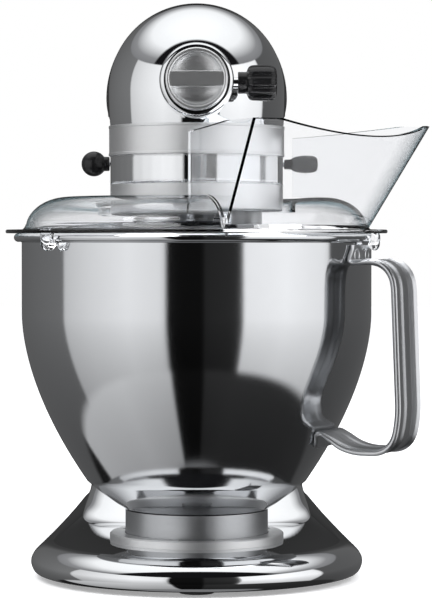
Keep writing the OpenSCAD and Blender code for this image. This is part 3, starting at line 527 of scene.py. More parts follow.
class MeshKit:
    """Makes mesh objects from points in millimetres about the bowl's axis.

    Args:
        origin: Where the bowl's axis meets the ground, in metres.
    """

    def __init__(self, origin: Vector) -> None:
        """Keep the origin."""
        self.origin = origin

    def make(self, name: str, verts: Iterable[Point], faces: Iterable[Sequence[int]],
             sharp: float = SHARP) -> bpy.types.Object:
        """Make a shaded mesh object.

        Args:
            name: Object name.
            verts: Points in millimetres.
            faces: Vertex indices of each face.
            sharp: Angle in degrees above which an edge is drawn sharp.

        Returns:
            The new object.
        """
        mesh = bpy.data.meshes.new(name)
        mesh.from_pydata([tuple(self.origin + Vector(v) * MM) for v in verts], [], [tuple(f) for f in faces])
        mesh.validate()
        work = bmesh.new()
        work.from_mesh(mesh)
        bmesh.ops.remove_doubles(work, verts=work.verts, dist=1e-6)
        bmesh.ops.dissolve_degenerate(work, edges=work.edges, dist=1e-7)
        bmesh.ops.recalc_face_normals(work, faces=work.faces)
        work.to_mesh(mesh)
        work.free()
        mesh.shade_smooth()
        mesh.set_sharp_from_angle(angle=math.radians(sharp))
        thing = bpy.data.objects.new(name, mesh)
        bpy.context.scene.collection.objects.link(thing)
        return thing

    def lathe(self, name: str, profile: Sequence[Flat], steps: int = 144, place: Matrix | None = None,
              sharp: float = SHARP) -> bpy.types.Object:
        """Turn a closed (radius, height) outline about an axis.

        Args:
            name: Object name.
            profile: Closed outline.
            steps: Segments round the axis.
            place: Matrix that puts the turned body in place; the axis is its Z.
            sharp: Angle in degrees above which an edge is drawn sharp.

        Returns:
            The new object.
        """
        frame = place or Matrix()
        verts = [frame @ Vector((r * math.cos(a), r * math.sin(a), z))
                 for a in full_turn(steps) for r, z in profile]
        count = len(profile)
        faces = [(i * count + j, ((i + 1) % steps) * count + j,
                  ((i + 1) % steps) * count + (j + 1) % count, i * count + (j + 1) % count)
                 for i in range(steps) for j in range(count)]
        return self.make(name, verts, faces, sharp)

    def drum(self, name: str, radius: float, low: float, high: float, steps: int,
             place: Matrix | None = None) -> bpy.types.Object:
        """Make a plain cylinder to cut with.

        Args:
            name: Object name.
            radius: Radius.
            low: Where it starts along its axis.
            high: Where it ends.
            steps: Segments round the axis.
            place: Matrix that puts it in place; its axis is its Z.

        Returns:
            The new object.
        """
        return self.lathe(name, [(0, low), (radius, low), (radius, high), (0, high)], steps, place)

    def loft(self, name: str, rings: Sequence[Sequence[Point]], loop: bool = False,
             sharp: float = SHARP) -> bpy.types.Object:
        """Skin closed rings that have equally many points.

        Args:
            name: Object name.
            rings: Rings of points in order.
            loop: Join the last ring to the first; otherwise both ends get a face.
            sharp: Angle in degrees above which an edge is drawn sharp.

        Returns:
            The new object.
        """
        count = len(rings[0])
        verts = [p for ring in rings for p in ring]
        spans = len(rings) if loop else len(rings) - 1
        faces: list[Sequence[int]] = []
        for k in range(spans):
            a, b = k * count, ((k + 1) % len(rings)) * count
            faces += [(a + i, a + (i + 1) % count, b + (i + 1) % count, b + i) for i in range(count)]
        if not loop:
            faces += [tuple(range(count - 1, -1, -1)), tuple(range(len(verts) - count, len(verts)))]
        return self.make(name, verts, faces, sharp)


def full_turn(steps: int) -> list[float]:
    """Return evenly spaced angles all the way round."""
    return [math.tau * i / steps for i in range(steps)]


def degrees(start: float, step: float, count: int) -> list[float]:
    """Return angles in radians from a start and a step in degrees."""
    return [math.radians(start + step * i) for i in range(count)]


def smooth_step(t: float) -> float:
    """Return a smooth step of t from 0 to 1."""
    c = min(1.0, max(0.0, t))
    return c * c * (3 - 2 * c)


def catmull(keys: Sequence[Point], between: int = 6) -> list[list[float]]:
    """Interpolate rows of numbers smoothly.

    Args:
        keys: Rows of equally many numbers.
        between: New rows for each span.

    Returns:
        The rows, with the keys among them.
    """
    rows: list[list[float]] = []
    for i in range(len(keys) - 1):
        p = [keys[max(0, min(len(keys) - 1, i + o))] for o in (-1, 0, 1, 2)]
        for s in range(between):
            t = s / between
            rows.append([0.5 * (2 * b + (c - a) * t + (2 * a - 5 * b + 4 * c - d) * t * t
                                + (3 * b - a - 3 * c + d) * t ** 3) for a, b, c, d in zip(*p)])
    rows.append(list(keys[-1]))
    return rows


def rounded(points: Sequence[Solid], steps: int = 8) -> list[Flat]:
    """Round the corners of a path of (x, y, radius) points.

    Args:
        points: Corner points; a radius of 0 keeps a corner sharp, and both ends stay as they are.
        steps: Segments on each round corner.

    Returns:
        The rounded path.
    """
    path: list[Flat] = []
    last = len(points) - 1
    for i, (x, y, r) in enumerate(points):
        if r <= 0 or i in (0, last):
            path.append((x, y))
            continue
        here = Vector((x, y))
        back = (Vector(points[i - 1][:2]) - here).normalized()
        ahead = (Vector(points[i + 1][:2]) - here).normalized()
        for s in range(steps + 1):
            t = s / steps
            p = here + back * r * (1 - t) ** 2 + ahead * r * t ** 2
            path.append((p.x, p.y))
    return path


def corner_loop(front: Solid, rear: Solid, steps: int) -> list[Flat]:
    """Outline through four round corners, two in front and two behind.

    Args:
        front: Centre's x, centre's y and radius of the right front corner.
        rear: The same for the right rear corner.
        steps: Segments on each corner.

    Returns:
        Points of the outline, anticlockwise from the right side.
    """
    (fx, fy, fr), (rx, ry, rr) = front, rear
    turn = math.atan2(ry - fy, rx - fx) - math.acos((fr - rr) / math.hypot(rx - fx, ry - fy))
    spans = ((rx, ry, rr, turn, math.pi / 2), (-rx, ry, rr, math.pi / 2, math.pi - turn),
             (-fx, fy, fr, math.pi - turn, 1.5 * math.pi), (fx, fy, fr, 1.5 * math.pi, math.tau + turn))
    return [(x + r * math.cos(a), y + r * math.sin(a)) for x, y, r, a0, a1 in spans
            for a in (a0 + (a1 - a0) * i / steps for i in range(steps + 1))]


def bevel(piece: bpy.types.Object, width: float, angle: float) -> None:
    """Round a piece's sharp edges.

    Args:
        piece: Object to change.
        width: Width of the rounding in millimetres.
        angle: Edges sharper than this angle in degrees are rounded.
    """
    modifier = piece.modifiers.new("rounding", "BEVEL")
    modifier.width = width * MM
    modifier.segments = 3
    modifier.limit_method = "ANGLE"
    modifier.angle_limit = math.radians(angle)
    modifier.harden_normals = True


def about(point: Point, axis: str) -> Matrix:
    """Return a placing matrix whose Z runs along an axis of the frame.

    Args:
        point: Where the matrix puts its origin, in millimetres.
        axis: "x", "-x", "y", "-y" or "z".

    Returns:
        The matrix.
    """
    turns = {"x": (0, math.pi / 2, 0), "-x": (0, -math.pi / 2, 0), "y": (-math.pi / 2, 0, 0),
             "-y": (math.pi / 2, 0, 0), "z": (0, 0, 0)}
    return Matrix.Translation(Vector(point)) @ Euler(turns[axis]).to_matrix().to_4x4()


# ---------- Finishes ----------


CHROME = Finish("bright_chrome", (0.86, 0.87, 0.88), (0.78, 0.79, 0.81), worn=(0.95, 0.95, 0.96),
                roughness=0.035, smudge_rough=0.035, smudge_cover=0.12, wear=0.15, skin_scale=22.0,
                skin_bump=0.1, scratches=0.05)
POLISHED = Finish("polished_bowl_steel", (0.74, 0.75, 0.765), (0.68, 0.69, 0.705),
                  worn=(0.85, 0.85, 0.86), roughness=0.05, smudge_rough=0.05, smudge_cover=0.14, wear=0.2,
                  grain_stretch=(1.2, 1.2, 42.0), grain_bump=0.045, grain_rough=0.06, skin_scale=14.0,
                  skin_bump=0.12, scratches=0.08)
BRUSHED = Finish("brushed_foot_steel", (0.55, 0.56, 0.575), (0.46, 0.47, 0.485), worn=(0.8, 0.8, 0.81),
                 roughness=0.24, smudge_rough=0.08, wear=0.3, grain_stretch=(2.0, 2.0, 60.0),
                 grain_bump=0.9, grain_rough=0.2, scratches=0.25)
HANDLE = Finish("satin_handle_steel", (0.74, 0.75, 0.765), (0.64, 0.65, 0.665), worn=(0.9, 0.9, 0.91),
                roughness=0.24, smudge_rough=0.1, smudge_cover=0.3, wear=0.4,
                grain_stretch=(5.0, 5.0, 40.0), grain_bump=0.6, grain_rough=0.14, scratches=0.3)
SATIN = Finish("satin_trim_steel", (0.92, 0.925, 0.93), (0.84, 0.845, 0.85), worn=(0.97, 0.97, 0.97),
               roughness=0.34, smudge_rough=0.08, wear=0.75, wear_radius=0.0009,
               grain_stretch=(2.0, 2.0, 70.0), grain_bump=0.8, grain_rough=0.16, scratches=0.2)
CAP_STEEL = Finish("satin_cap_steel", (0.93, 0.935, 0.94), (0.85, 0.855, 0.86), worn=(0.97, 0.97, 0.97),
                   roughness=0.34, smudge_rough=0.06, wear=0.5, wear_radius=0.0007,
                   grain_stretch=(2.0, 40.0, 2.0), grain_bump=0.4, grain_rough=0.1, scratches=0.15)
TOOL_STEEL = Finish("turned_steel", (0.5, 0.505, 0.51), (0.4, 0.39, 0.375), worn=(0.75, 0.75, 0.75),
                    roughness=0.25, smudge_rough=0.12, wear=0.5, grain_stretch=(8.0, 8.0, 30.0),
                    grain_bump=0.6, grain_rough=0.15, scratches=0.3)
CAST = Finish("cast_zinc", (0.42, 0.425, 0.43), (0.33, 0.335, 0.34), worn=(0.7, 0.7, 0.7), roughness=0.42,
              smudge_rough=0.12, wear=0.45, skin_scale=260.0, skin_bump=1.6)
BRONZE = Finish("gear_bronze", (0.5, 0.31, 0.13), (0.35, 0.2, 0.08), worn=(0.75, 0.55, 0.3),
                roughness=0.3, smudge_rough=0.15, wear=0.5, grain_stretch=(8.0, 8.0, 30.0),
                grain_bump=0.5, grain_rough=0.1)
LAMINATION = Finish("motor_laminations", (0.16, 0.16, 0.165), (0.1, 0.09, 0.085), worn=(0.45, 0.45, 0.45),
                    roughness=0.45, grain_stretch=(1.0, 90.0, 1.0), grain_bump=1.8, grain_rough=0.2)
COPPER = Finish("commutator_copper", (0.72, 0.36, 0.2), (0.45, 0.22, 0.12), worn=(0.9, 0.6, 0.45),
                roughness=0.28, grain_stretch=(3.0, 60.0, 3.0), grain_bump=0.6, grain_rough=0.15)
BLACK = Finish("black_moulded_plastic", (0.006, 0.006, 0.0065), (0.014, 0.014, 0.0145),
               worn=(0.06, 0.06, 0.06), metallic=0.0, roughness=0.2, smudge_rough=0.12, wear=0.4,
               skin_scale=320.0, skin_bump=0.5, ior=1.42)
RUBBER = Finish("foot_rubber", (0.018, 0.018, 0.019), (0.05, 0.048, 0.045), worn=(0.09, 0.09, 0.09),
                metallic=0.0, roughness=0.68, smudge_rough=0.15, wear=0.5, skin_scale=500.0,
                skin_bump=1.8)
BOARD = Finish("circuit_board", (0.02, 0.16, 0.06), (0.015, 0.1, 0.04), worn=(0.4, 0.35, 0.15),
               metallic=0.0, roughness=0.4, skin_scale=400.0, skin_bump=1.0, coat=0.3)
# The clear plastic's rim colour is painted shade on walls seen edge-on, standing in for dark surroundings
CLEAR = Finish("clear_shield_plastic", (0.935, 0.94, 0.952), (0.915, 0.922, 0.935),
               worn=(0.8, 0.86, 0.88), metallic=0.0, roughness=0.008, smudge_rough=0.03,
               smudge_cover=0.12, wear=0.08, skin_scale=14.0, skin_bump=0.06, scratches=0.04,
               transmission=1.0, ior=1.44, rim=(0.045, 0.085, 0.1))

SLOT_FINISH = {"chrome": CHROME, "polished_steel": POLISHED, "satin_steel": SATIN, "handle_steel": HANDLE,
               "black_plastic": BLACK, "rubber": RUBBER, "clear_plastic": CLEAR, "cast_zinc": CAST,
               "gear_steel": TOOL_STEEL, "bronze": BRONZE, "lamination": LAMINATION, "copper": COPPER,
               "board": BOARD}
CASE_CHROME = replace(CHROME, name="chrome_gear_case", soften=0.004)
NODE_FINISH = {"bowl_foot": BRUSHED, "drip_ring": SATIN, "trim_band": SATIN, "lower_housing": CASE_CHROME}


# ---------- Assemblies ----------

# Power of the curve that rounds off the head's tail: 2 is an ellipse
TAIL_POWER = 2.7


@dataclass
class Assembly:
    """Pieces of the mixer that belong together.

    Attributes:
        kit: Makes meshes.
        shop: Makes materials.
        pieces: What has been made, by name.
    """

    kit: MeshKit
    shop: MaterialShop
    pieces: dict[str, bpy.types.Object] = field(default_factory=dict)

    def dress(self, piece: bpy.types.Object, finish: Finish, body: str, slot: str, *nodes: str) -> None:
        """Give a piece its material and body, and hide the nodes it stands for.

        Args:
            piece: The piece.
            finish: Its finish.
            body: Body that it moves with.
            slot: Material slot of the record; not used.
            nodes: Nodes of the frame that it stands for.
        """
        piece.data.materials.clear()
        piece.data.materials.append(self.shop.get(finish))
        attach(piece, body)
        if nodes:
            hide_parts(*nodes)
        self.pieces[piece.name] = piece

    def cut(self, piece: bpy.types.Object, operation: str, *tools: bpy.types.Object) -> None:
        """Apply booleans to a piece and remove the tools.

        Args:
            piece: Piece to change.
            operation: "DIFFERENCE", "UNION" or "INTERSECT".
            tools: Closed meshes.
        """
        for tool in tools:
            modifier = piece.modifiers.new("cut", "BOOLEAN")
            modifier.operation = operation
            modifier.solver = "EXACT"
            modifier.object = tool
            graph = bpy.context.evaluated_depsgraph_get()
            mesh = bpy.data.meshes.new_from_object(piece.evaluated_get(graph))
            piece.modifiers.clear()
            piece.data = mesh
            bpy.data.objects.remove(tool)
        piece.data.shade_smooth()
        piece.data.set_sharp_from_angle(angle=math.radians(SHARP))


@dataclass
class Bowl(Assembly):
    """Steel bowl with its rolled rim and handle.

    Attributes:
        wall_r: Outer radius of the straight wall.
        curve_z: Height where the wall starts to curve in.
        narrowing: How far it comes in over the first 100 mm below that height.
        bulge: Power of the curve; 2 is a parabola.
        rim_r: Outer radius of the rolled rim.
        rim_z: Height of the rim's top.
        roll_r: Radius of the rolled rim's own section.
        floor_z: Height of the floor.
        foot_r: Outer radius of the foot ring.
        gauge: Thickness of the bowl's sheet.
        handle_turn: Direction of the handle in degrees.
        handle_z: Height of the handle's lower and upper arm.
        handle_reach: Distance of the grip's outside from the axis.
        strap_half: Half the strap's width.
        strap: Thickness of the strap.
        rib: Height of the strap's rib, and half its width as a share of the strap's.
        curl: Height of the curled edges, and where they start, as a share of half the width.
        spacing: Distance between the strap's sections.
    """

    wall_r: float = 106.3
    curve_z: float = 160.0
    narrowing: float = 38.6
    bulge: float = 1.765
    rim_r: float = 111.0
    rim_z: float = 209.0
    roll_r: float = 2.6
    floor_z: float = 41.0
    foot_r: float = 43.5
    gauge: float = 1.0
    handle_turn: float = -26.0
    handle_z: Flat = (83.0, 190.0)
    handle_reach: float = 138.0
    strap_half: float = 17.5
    strap: float = 2.6
    rib: Flat = (1.2, 0.24)
    curl: Flat = (2.0, 0.8)
    spacing: float = 2.0

    def outside(self, z: float) -> float:
        """Return the outer radius at a height."""
        return self.wall_r - self.narrowing * (max(0.0, self.curve_z - z) / 100) ** self.bulge

    def shell(self) -> None:
        """Make the spun bowl with its rolled rim."""
        rise = [(self.outside(z), z) for z in (56 + 2.6 * i for i in range(41))]
        outer = catmull([(0.0, self.floor_z), (20.0, self.floor_z), (self.foot_r - 3, self.floor_z),
                         (self.foot_r + 3.4, self.floor_z + 2.6), (55.6, self.floor_z + 8.6), rise[1]], 6)
        outer = [tuple(p) for p in outer] + rise[2:] + [(self.wall_r, z) for z in (170, 190, 203.4)]
        roll_at, roll_z = self.rim_r - self.roll_r, self.rim_z - self.roll_r
        roll = [(roll_at + self.roll_r * math.cos(a), roll_z + self.roll_r * math.sin(a))
                for a in degrees(-118, 10, 31)]
        inner = [(r - self.gauge, z + 0.6) for r, z in reversed(outer) if r > self.gauge]
        inner.append((0.0, self.floor_z + self.gauge))
        piece = self.kit.lathe("bowl_wall", outer + roll + inner, steps=192, sharp=50)
        self.dress(piece, POLISHED, "bowl", "polished_steel", "bowl_shell")

    def strap_path(self) -> list[Flat]:
        """Lay out the strap's inner line.

        Returns:
            Evenly spaced (radius, height) points.
        """
        (low, top), reach = self.handle_z, self.handle_reach
        path = rounded([(self.wall_r, top + 12, 0), (self.wall_r, top, 5), (reach - 6, top + 1, 16),
                        (reach - 2.6, low + 20, 7), (reach - 6, low, 11),
                        (self.outside(low + 9) + 20, low, 9), (self.outside(low + 10), low + 11, 5),
                        (self.outside(low + 1), low, 0)], 10)
        spaced, left = [path[0]], self.spacing
        for (x0, y0), (x1, y1) in zip(path, path[1:]):
            length = math.hypot(x1 - x0, y1 - y0)
            at = left
            while at < length:
                t = at / length
                spaced.append((x0 + (x1 - x0) * t, y0 + (y1 - y0) * t))
                at += self.spacing
            left = at - length
        return spaced + [path[-1]]

    def handle(self) -> None:
        """Make the pressed strap handle with its rib, curled edges and curved tabs."""
        path = self.strap_path()
        total = len(path) - 1
        across = [-1 + 2 * i / 28 for i in range(29)]
        rings = []
        for i, (r, z) in enumerate(path):
            before, after = path[max(0, i - 2)], path[min(total, i + 2)]
            along = Vector((after[0] - before[0], after[1] - before[1])).normalized()
            out = Vector((-along.y, along.x))
            to_end = min(i, total - i)
            run = smooth_step((to_end * self.spacing - 14) / 14)
            wide = self.strap_half * min(1.0, 0.72 + 0.28 * smooth_step(to_end / 5))
            hug = 1 - smooth_step((r - self.outside(z) - 2) / 12)
            ring = []
            for side in (1, -1):
                for u in across[::side]:
                    x = u * wide
                    bend = hug * (self.wall_r - math.sqrt(self.wall_r ** 2 - x * x))
                    level = self._strap_level(abs(u), run, side == 1)
                    ring.append(self._strap_point(r + 0.1 - bend, z, out, level, x))
            rings.append(ring)
        piece = self.kit.loft("handle_strap", rings, sharp=60)
        self.dress(piece, HANDLE, "bowl", "handle_steel", "bowl_handle")
        for k, x in enumerate((-7.5, 7.5)):
            self.weld_mark(k, x, self.handle_z[1] + 6)

    def _strap_level(self, u: float, run: float, outer: bool) -> float:
        """Say how far the strap's skin stands out from its inner line.

        Args:
            u: Place across the strap, 0 in the middle and 1 at the edge.
            run: 0 on the tabs, 1 where rib and curl are full.
            outer: Whether it is the outer skin.

        Returns:
            The distance.
        """
        rib = run * self.rib[0] * (1 - smooth_step((u - self.rib[1]) / 0.14))
        curl = run * self.curl[0] * smooth_step((u - self.curl[1]) / 0.17)
        middle, thick, round_from, round_over = self.strap / 2, self.strap, 0.93, 0.07
        if u > round_from:
            thick *= math.sqrt(max(0.0, 1 - ((u - round_from) / round_over) ** 2))
        if outer:
            return curl + rib * 0.9 + middle + thick / 2
        return middle - thick / 2 + rib * 0.5 + curl * 0.4

    def _strap_point(self, r: float, z: float, out: Vector, level: float, x: float) -> Solid:
        """Place one point of the strap's section.

        Args:
            r: Radius of the inner line there.
            z: Height of the inner line there.
            out: Direction that the skin faces, as radius and height.
            level: How far the point stands out.
            x: Place across the strap.

        Returns:
            The point.
        """
        turn = math.radians(self.handle_turn)
        rr, zz = r + out.x * level, z + out.y * level
        return (rr * math.cos(turn) - x * math.sin(turn), rr * math.sin(turn) + x * math.cos(turn), zz)

    def weld_mark(self, index: int, x: float, z: float) -> None:
        """Make the ring-shaped dent that a spot weld leaves on the tab.

        Args:
            index: Number of the weld.
            x: Place across the tab.
            z: Height.
        """
        turn = math.radians(self.handle_turn) + x / self.wall_r
        centre = Vector((math.cos(turn), math.sin(turn), 0)) * (self.wall_r + 2.68) + Vector((0, 0, z))
        outward = Matrix.Rotation(turn, 4, "Z") @ Matrix.Rotation(math.pi / 2, 4, "Y")
        facing = Matrix.Translation(centre) @ outward
        profile = [(0.0, -0.6), (0.0, 0.05), (1.4, 0.0), (2.3, -0.05), (2.8, 0.3), (3.4, 0.35), (3.9, 0.0),
                   (3.9, -0.6)]
        piece = self.kit.lathe(f"weld_mark_{index + 1}", profile, steps=32, place=facing)
        self.dress(piece, HANDLE, "bowl", "handle_steel")

    def build(self) -> None:
        """Make every piece of the bowl."""
        self.shell()
        self.handle()


@dataclass
class Shield(Assembly):
    """Clear shield on the bowl's rim, with the hooks that hold it.

    Attributes:
        rim_r: Outer radius of the bowl's rim.
        top_z: Underside of the shield's flange.
        flange_r: Outer radius of the flange.
        crown: Inner and outer radius of the rounded shoulder.
        rise: Height of the shoulder above the flange.
        bore_r: Radius of the opening for the head.
        wall: Thickness.
        turns: Directions of the hooks in degrees.
        chute_walls: Where the chute's front and rear wall start, and which way they run.
    """

    rim_r: float = 111.0
    top_z: float = 209.0
    flange_r: float = 116.0
    crown: Flat = (78.0, 104.0)
    rise: float = 19.8
    bore_r: float = 58.0
    wall: float = 2.2
    turns: tuple[float, ...] = (220.0, 340.0, 100.0)
    chute_walls: tuple[tuple[Flat, Flat], ...] = (((-2, -58.5), (41, -91)), ((61.5, -10), (966, -260)))

    def profile(self) -> list[Flat]:
        """Lay out the shield's closed section.

        Returns:
            Points as (radius, height).
        """
        (flat, edge), base = self.crown, self.top_z + self.wall
        top, bore = base + self.rise, self.bore_r
        path = [(self.flange_r - 0.6, base), (edge + 5, base), (edge + 1.6, base + 0.3)]
        path += [(flat + (edge - flat) * math.cos(a), base + self.rise * math.sin(a))
                 for a in degrees(10, 5, 17)]
        path += [(flat - 8, top), (bore + 4, top - 0.6), (bore + 1, top - 2)]
        path += [(bore, top - 5), (bore, top - 9)]
        path = [(r, z) for r, z in catmull(path, 3)]
        under = []
        for i, (r, z) in enumerate(path):
            (r0, z0), (r1, z1) = path[max(0, i - 1)], path[min(len(path) - 1, i + 1)]
            size = math.hypot(r1 - r0, z1 - z0)
            under.append((r - self.wall * (z1 - z0) / size, z + self.wall * (r1 - r0) / size))
        ends = [(self.flange_r, self.top_z + 0.6), (self.flange_r, base - 0.6)]
        return path + under[::-1] + ends

    def mouth(self, grow: float, low: float) -> bpy.types.Object:
        """Make the block between the chute's two walls, to cut its opening with.

        Args:
            grow: How far the block reaches past each wall.
            low: Height of its underside.

        Returns:
            The block.
        """
        (a, front), (b, rear) = [(Vector(start), Vector(run).normalized()) for start, run in self.chute_walls]
        a += Vector((front.y, -front.x)) * grow
        b -= Vector((rear.y, -rear.x)) * grow
        before, beyond, corner, high = 12, 120, Vector((150, -150)), 260
        plan = [a - front * before, a + front * beyond, corner, b + rear * beyond, b - rear * before]
        return self.kit.loft("mouth_tool", [[(p.x, p.y, z) for p in plan] for z in (low, high)])

    def collar(self) -> None:
        """Make the shield with the opening that the chute pours into."""
        profile = self.profile()
        rings = [[(r * math.cos(t), r * math.sin(t), z) for r, z in profile] for t in full_turn(180)]
        piece = self.kit.loft("clear_collar", rings, loop=True, sharp=30)
        inner = self.mouth(-2.0, 199)
        self.cut(inner, "INTERSECT", self.kit.drum("edge_tool", self.crown[1] - 1, 190, 270, 96))
        self.cut(piece, "DIFFERENCE", self.mouth(3.0, self.top_z + self.wall + 0.1), inner)
        self.dress(piece, CLEAR, "bowl", "clear_plastic", "shield_collar")

    def hook(self, index: int, turn: float) -> None:
        """Make one moulded hook: a tongue beside the rim with a small catch under it.

        Args:
            index: Number of the hook.
            turn: Its direction in degrees.
        """
        r, z = self.rim_r, self.top_z + 0.4
        outline = rounded([(r + 0.6, z, 0), (r + 0.6, z - 6.6, 1.0), (r - 1.6, z - 7.4, 0.6),
                           (r - 1.6, z - 8.8, 0.6), (r + 1.4, z - 11.2, 1.6), (r + 3.6, z - 9.4, 1.6),
                           (r + 4.2, z - 3, 1.5), (r + 3.4, z, 0)], 5)
        rings = []
        for k in range(13):
            t = -1 + k / 6
            grow = math.sqrt(max(0.0, 1 - abs(t) ** 5 * 0.75))
            a = math.radians(turn) + t * 5.5 / r
            ring = []
            for u, v in outline:
                out = r + 1.8 + (u - r - 1.8) * grow
                ring.append((out * math.cos(a), out * math.sin(a), z + (v - z) * grow))
            rings.append(ring)
        piece = self.kit.loft(f"shield_hook_{index + 1}", rings, sharp=60)
        self.dress(piece, CLEAR, "bowl", "clear_plastic")

    def build(self) -> None:
        """Make the shield and its hooks."""
        self.collar()
        for index, turn in enumerate(self.turns):
            self.hook(index, turn)


@dataclass
class Stand(Assembly):
    """Cast base and pedestal.

    Attributes:
        corner_steps: Segments on each corner of an outline.
        lift_y: Where the base's top starts to rise towards the pedestal, and over what length.
        hinge: Where the hinge pin's axis crosses the middle.
        tilt: How far the head swings back, in degrees.
        trough_r: Radius of the trough that the head's hinge lug turns in.
        trough_half: Half the trough's width.
        pin_r: Radius of the hinge pin.
    """

    corner_steps: int = 26
    lift_y: Flat = (70.0, 65.0)
    hinge: Solid = (0.0, 160.0, 224.0)
    tilt: float = 40.0
    trough_r: float = 13.4
    trough_half: float = 22.0
    pin_r: float = 4.0

    def ring(self, row: Sequence[float]) -> list[Solid]:
        """Lay out one outline of a casting, lifted towards the rear.

        Args:
            row: Height, lift, then x, y and radius of the front and rear corners.

        Returns:
            The outline's points.
        """
        z, lift, *corners = row
        start, length = self.lift_y
        plan = corner_loop(tuple(corners[:3]), tuple(corners[3:]), self.corner_steps)
        return [(x, y, z + lift * smooth_step((y - start) / length)) for x, y in plan]

    @staticmethod
    def edge(z: float, lift: float, inset: float) -> list[float]:
        """Return the base's outline at a height, moved in by the inset."""
        return [z, lift, 0, 0, 101 - inset, 48, 174, 36 - 0.6 * inset]

    def base(self) -> None:
        """Make the base: hollow below, a soft edge, a flat top and a saddle up to the pedestal."""
        cavity = [self.edge(17, 0, 18), self.edge(11, 0, 9), self.edge(3.2, 0, 9)]
        rim = catmull([self.edge(3, 0, 6), self.edge(3.6, 0, 3), self.edge(6, 0, 1.0), self.edge(10, 0, 0),
                       self.edge(14, 1, 1.2), self.edge(18, 4, 4.6), self.edge(20.6, 6.5, 9),
                       self.edge(21.95, 9, 14)], 5)
        saddle = catmull([[21.95, 11, 36, 98, 38, 48, 172, 25.5], [23.5, 14, 37, 111, 35, 46, 172, 25.5],
                          [30, 14, 36, 120, 33, 44, 172, 26.5], [42, 9, 33, 130, 31, 36, 171.5, 28],
                          [56, 0, 29, 139, 30, 29, 172, 30]], 6)
        piece = self.kit.loft("base_casting", [self.ring(row) for row in cavity + rim + saddle], sharp=55)
        self.dress(piece, CHROME, "stand", "chrome", "base")

    def pedestal(self) -> None:
        """Make the pedestal with its trough and sloping top."""
        # Height, half width, front and rear of the sections
        keys = [[56, 59, 109, 202], [66, 55.5, 112.5, 201.3], [80, 52, 116, 200.6],
                [100, 49, 118.6, 200], [130, 46.4, 120.6, 200], [165, 44.6, 121.6, 200.6],
                [200, 43.6, 122, 201.6], [236.5, 43, 122, 203]]
        corner = 30
        rings = [self.ring([z, 0, w - corner, f + corner, corner, w - corner, r - corner, corner])
                 for z, w, f, r in catmull(keys, 6)]
        piece = self.kit.loft("pedestal_casting", rings, sharp=55)
        pin = self.kit.drum("pin_tool", self.pin_r, -60, 60, 48, about(self.hinge, "x"))
        self.cut(piece, "DIFFERENCE", self.slope_tool(), self.trough_tool(), pin)
        bevel(piece, 0.7, 40)
        self.dress(piece, CHROME, "stand", "chrome", "pedestal")

    def slope_tool(self) -> bpy.types.Object:
        """Make the block that cuts the top to the slope of the tilted head.

        Returns:
            The block.
        """
        tilted = Matrix.Translation(Vector(self.hinge)) @ Matrix.Rotation(math.radians(-self.tilt), 4, "X")
        plan = ((-60, -30), (60, -30), (60, 90), (-60, 90))
        rings = [[tilted @ Vector((x, y, z)) for x, y in plan] for z in (12.5, 72.5)]
        return self.kit.loft("slope_tool", rings)

    def trough_tool(self) -> bpy.types.Object:
        """Make the block that cuts the trough for the head's hinge lug.

        Returns:
            The block.
        """
        r, slope = self.trough_r, math.radians(self.tilt)
        outline = [(-r, 40.0)] + [(r * math.cos(a), r * math.sin(a)) for a in degrees(180, 5, 29)]
        u, v = outline[-1]
        outline.append((u + 60 * math.sin(slope), v + 60 * math.cos(slope)))
        _, y, z = self.hinge
        return self.kit.loft("trough_tool", [[(x, y + u, z + v) for u, v in outline]
                                             for x in (-self.trough_half, self.trough_half)])

    def build(self) -> None:
        """Make every piece of the stand."""
        self.base()
        self.pedestal()


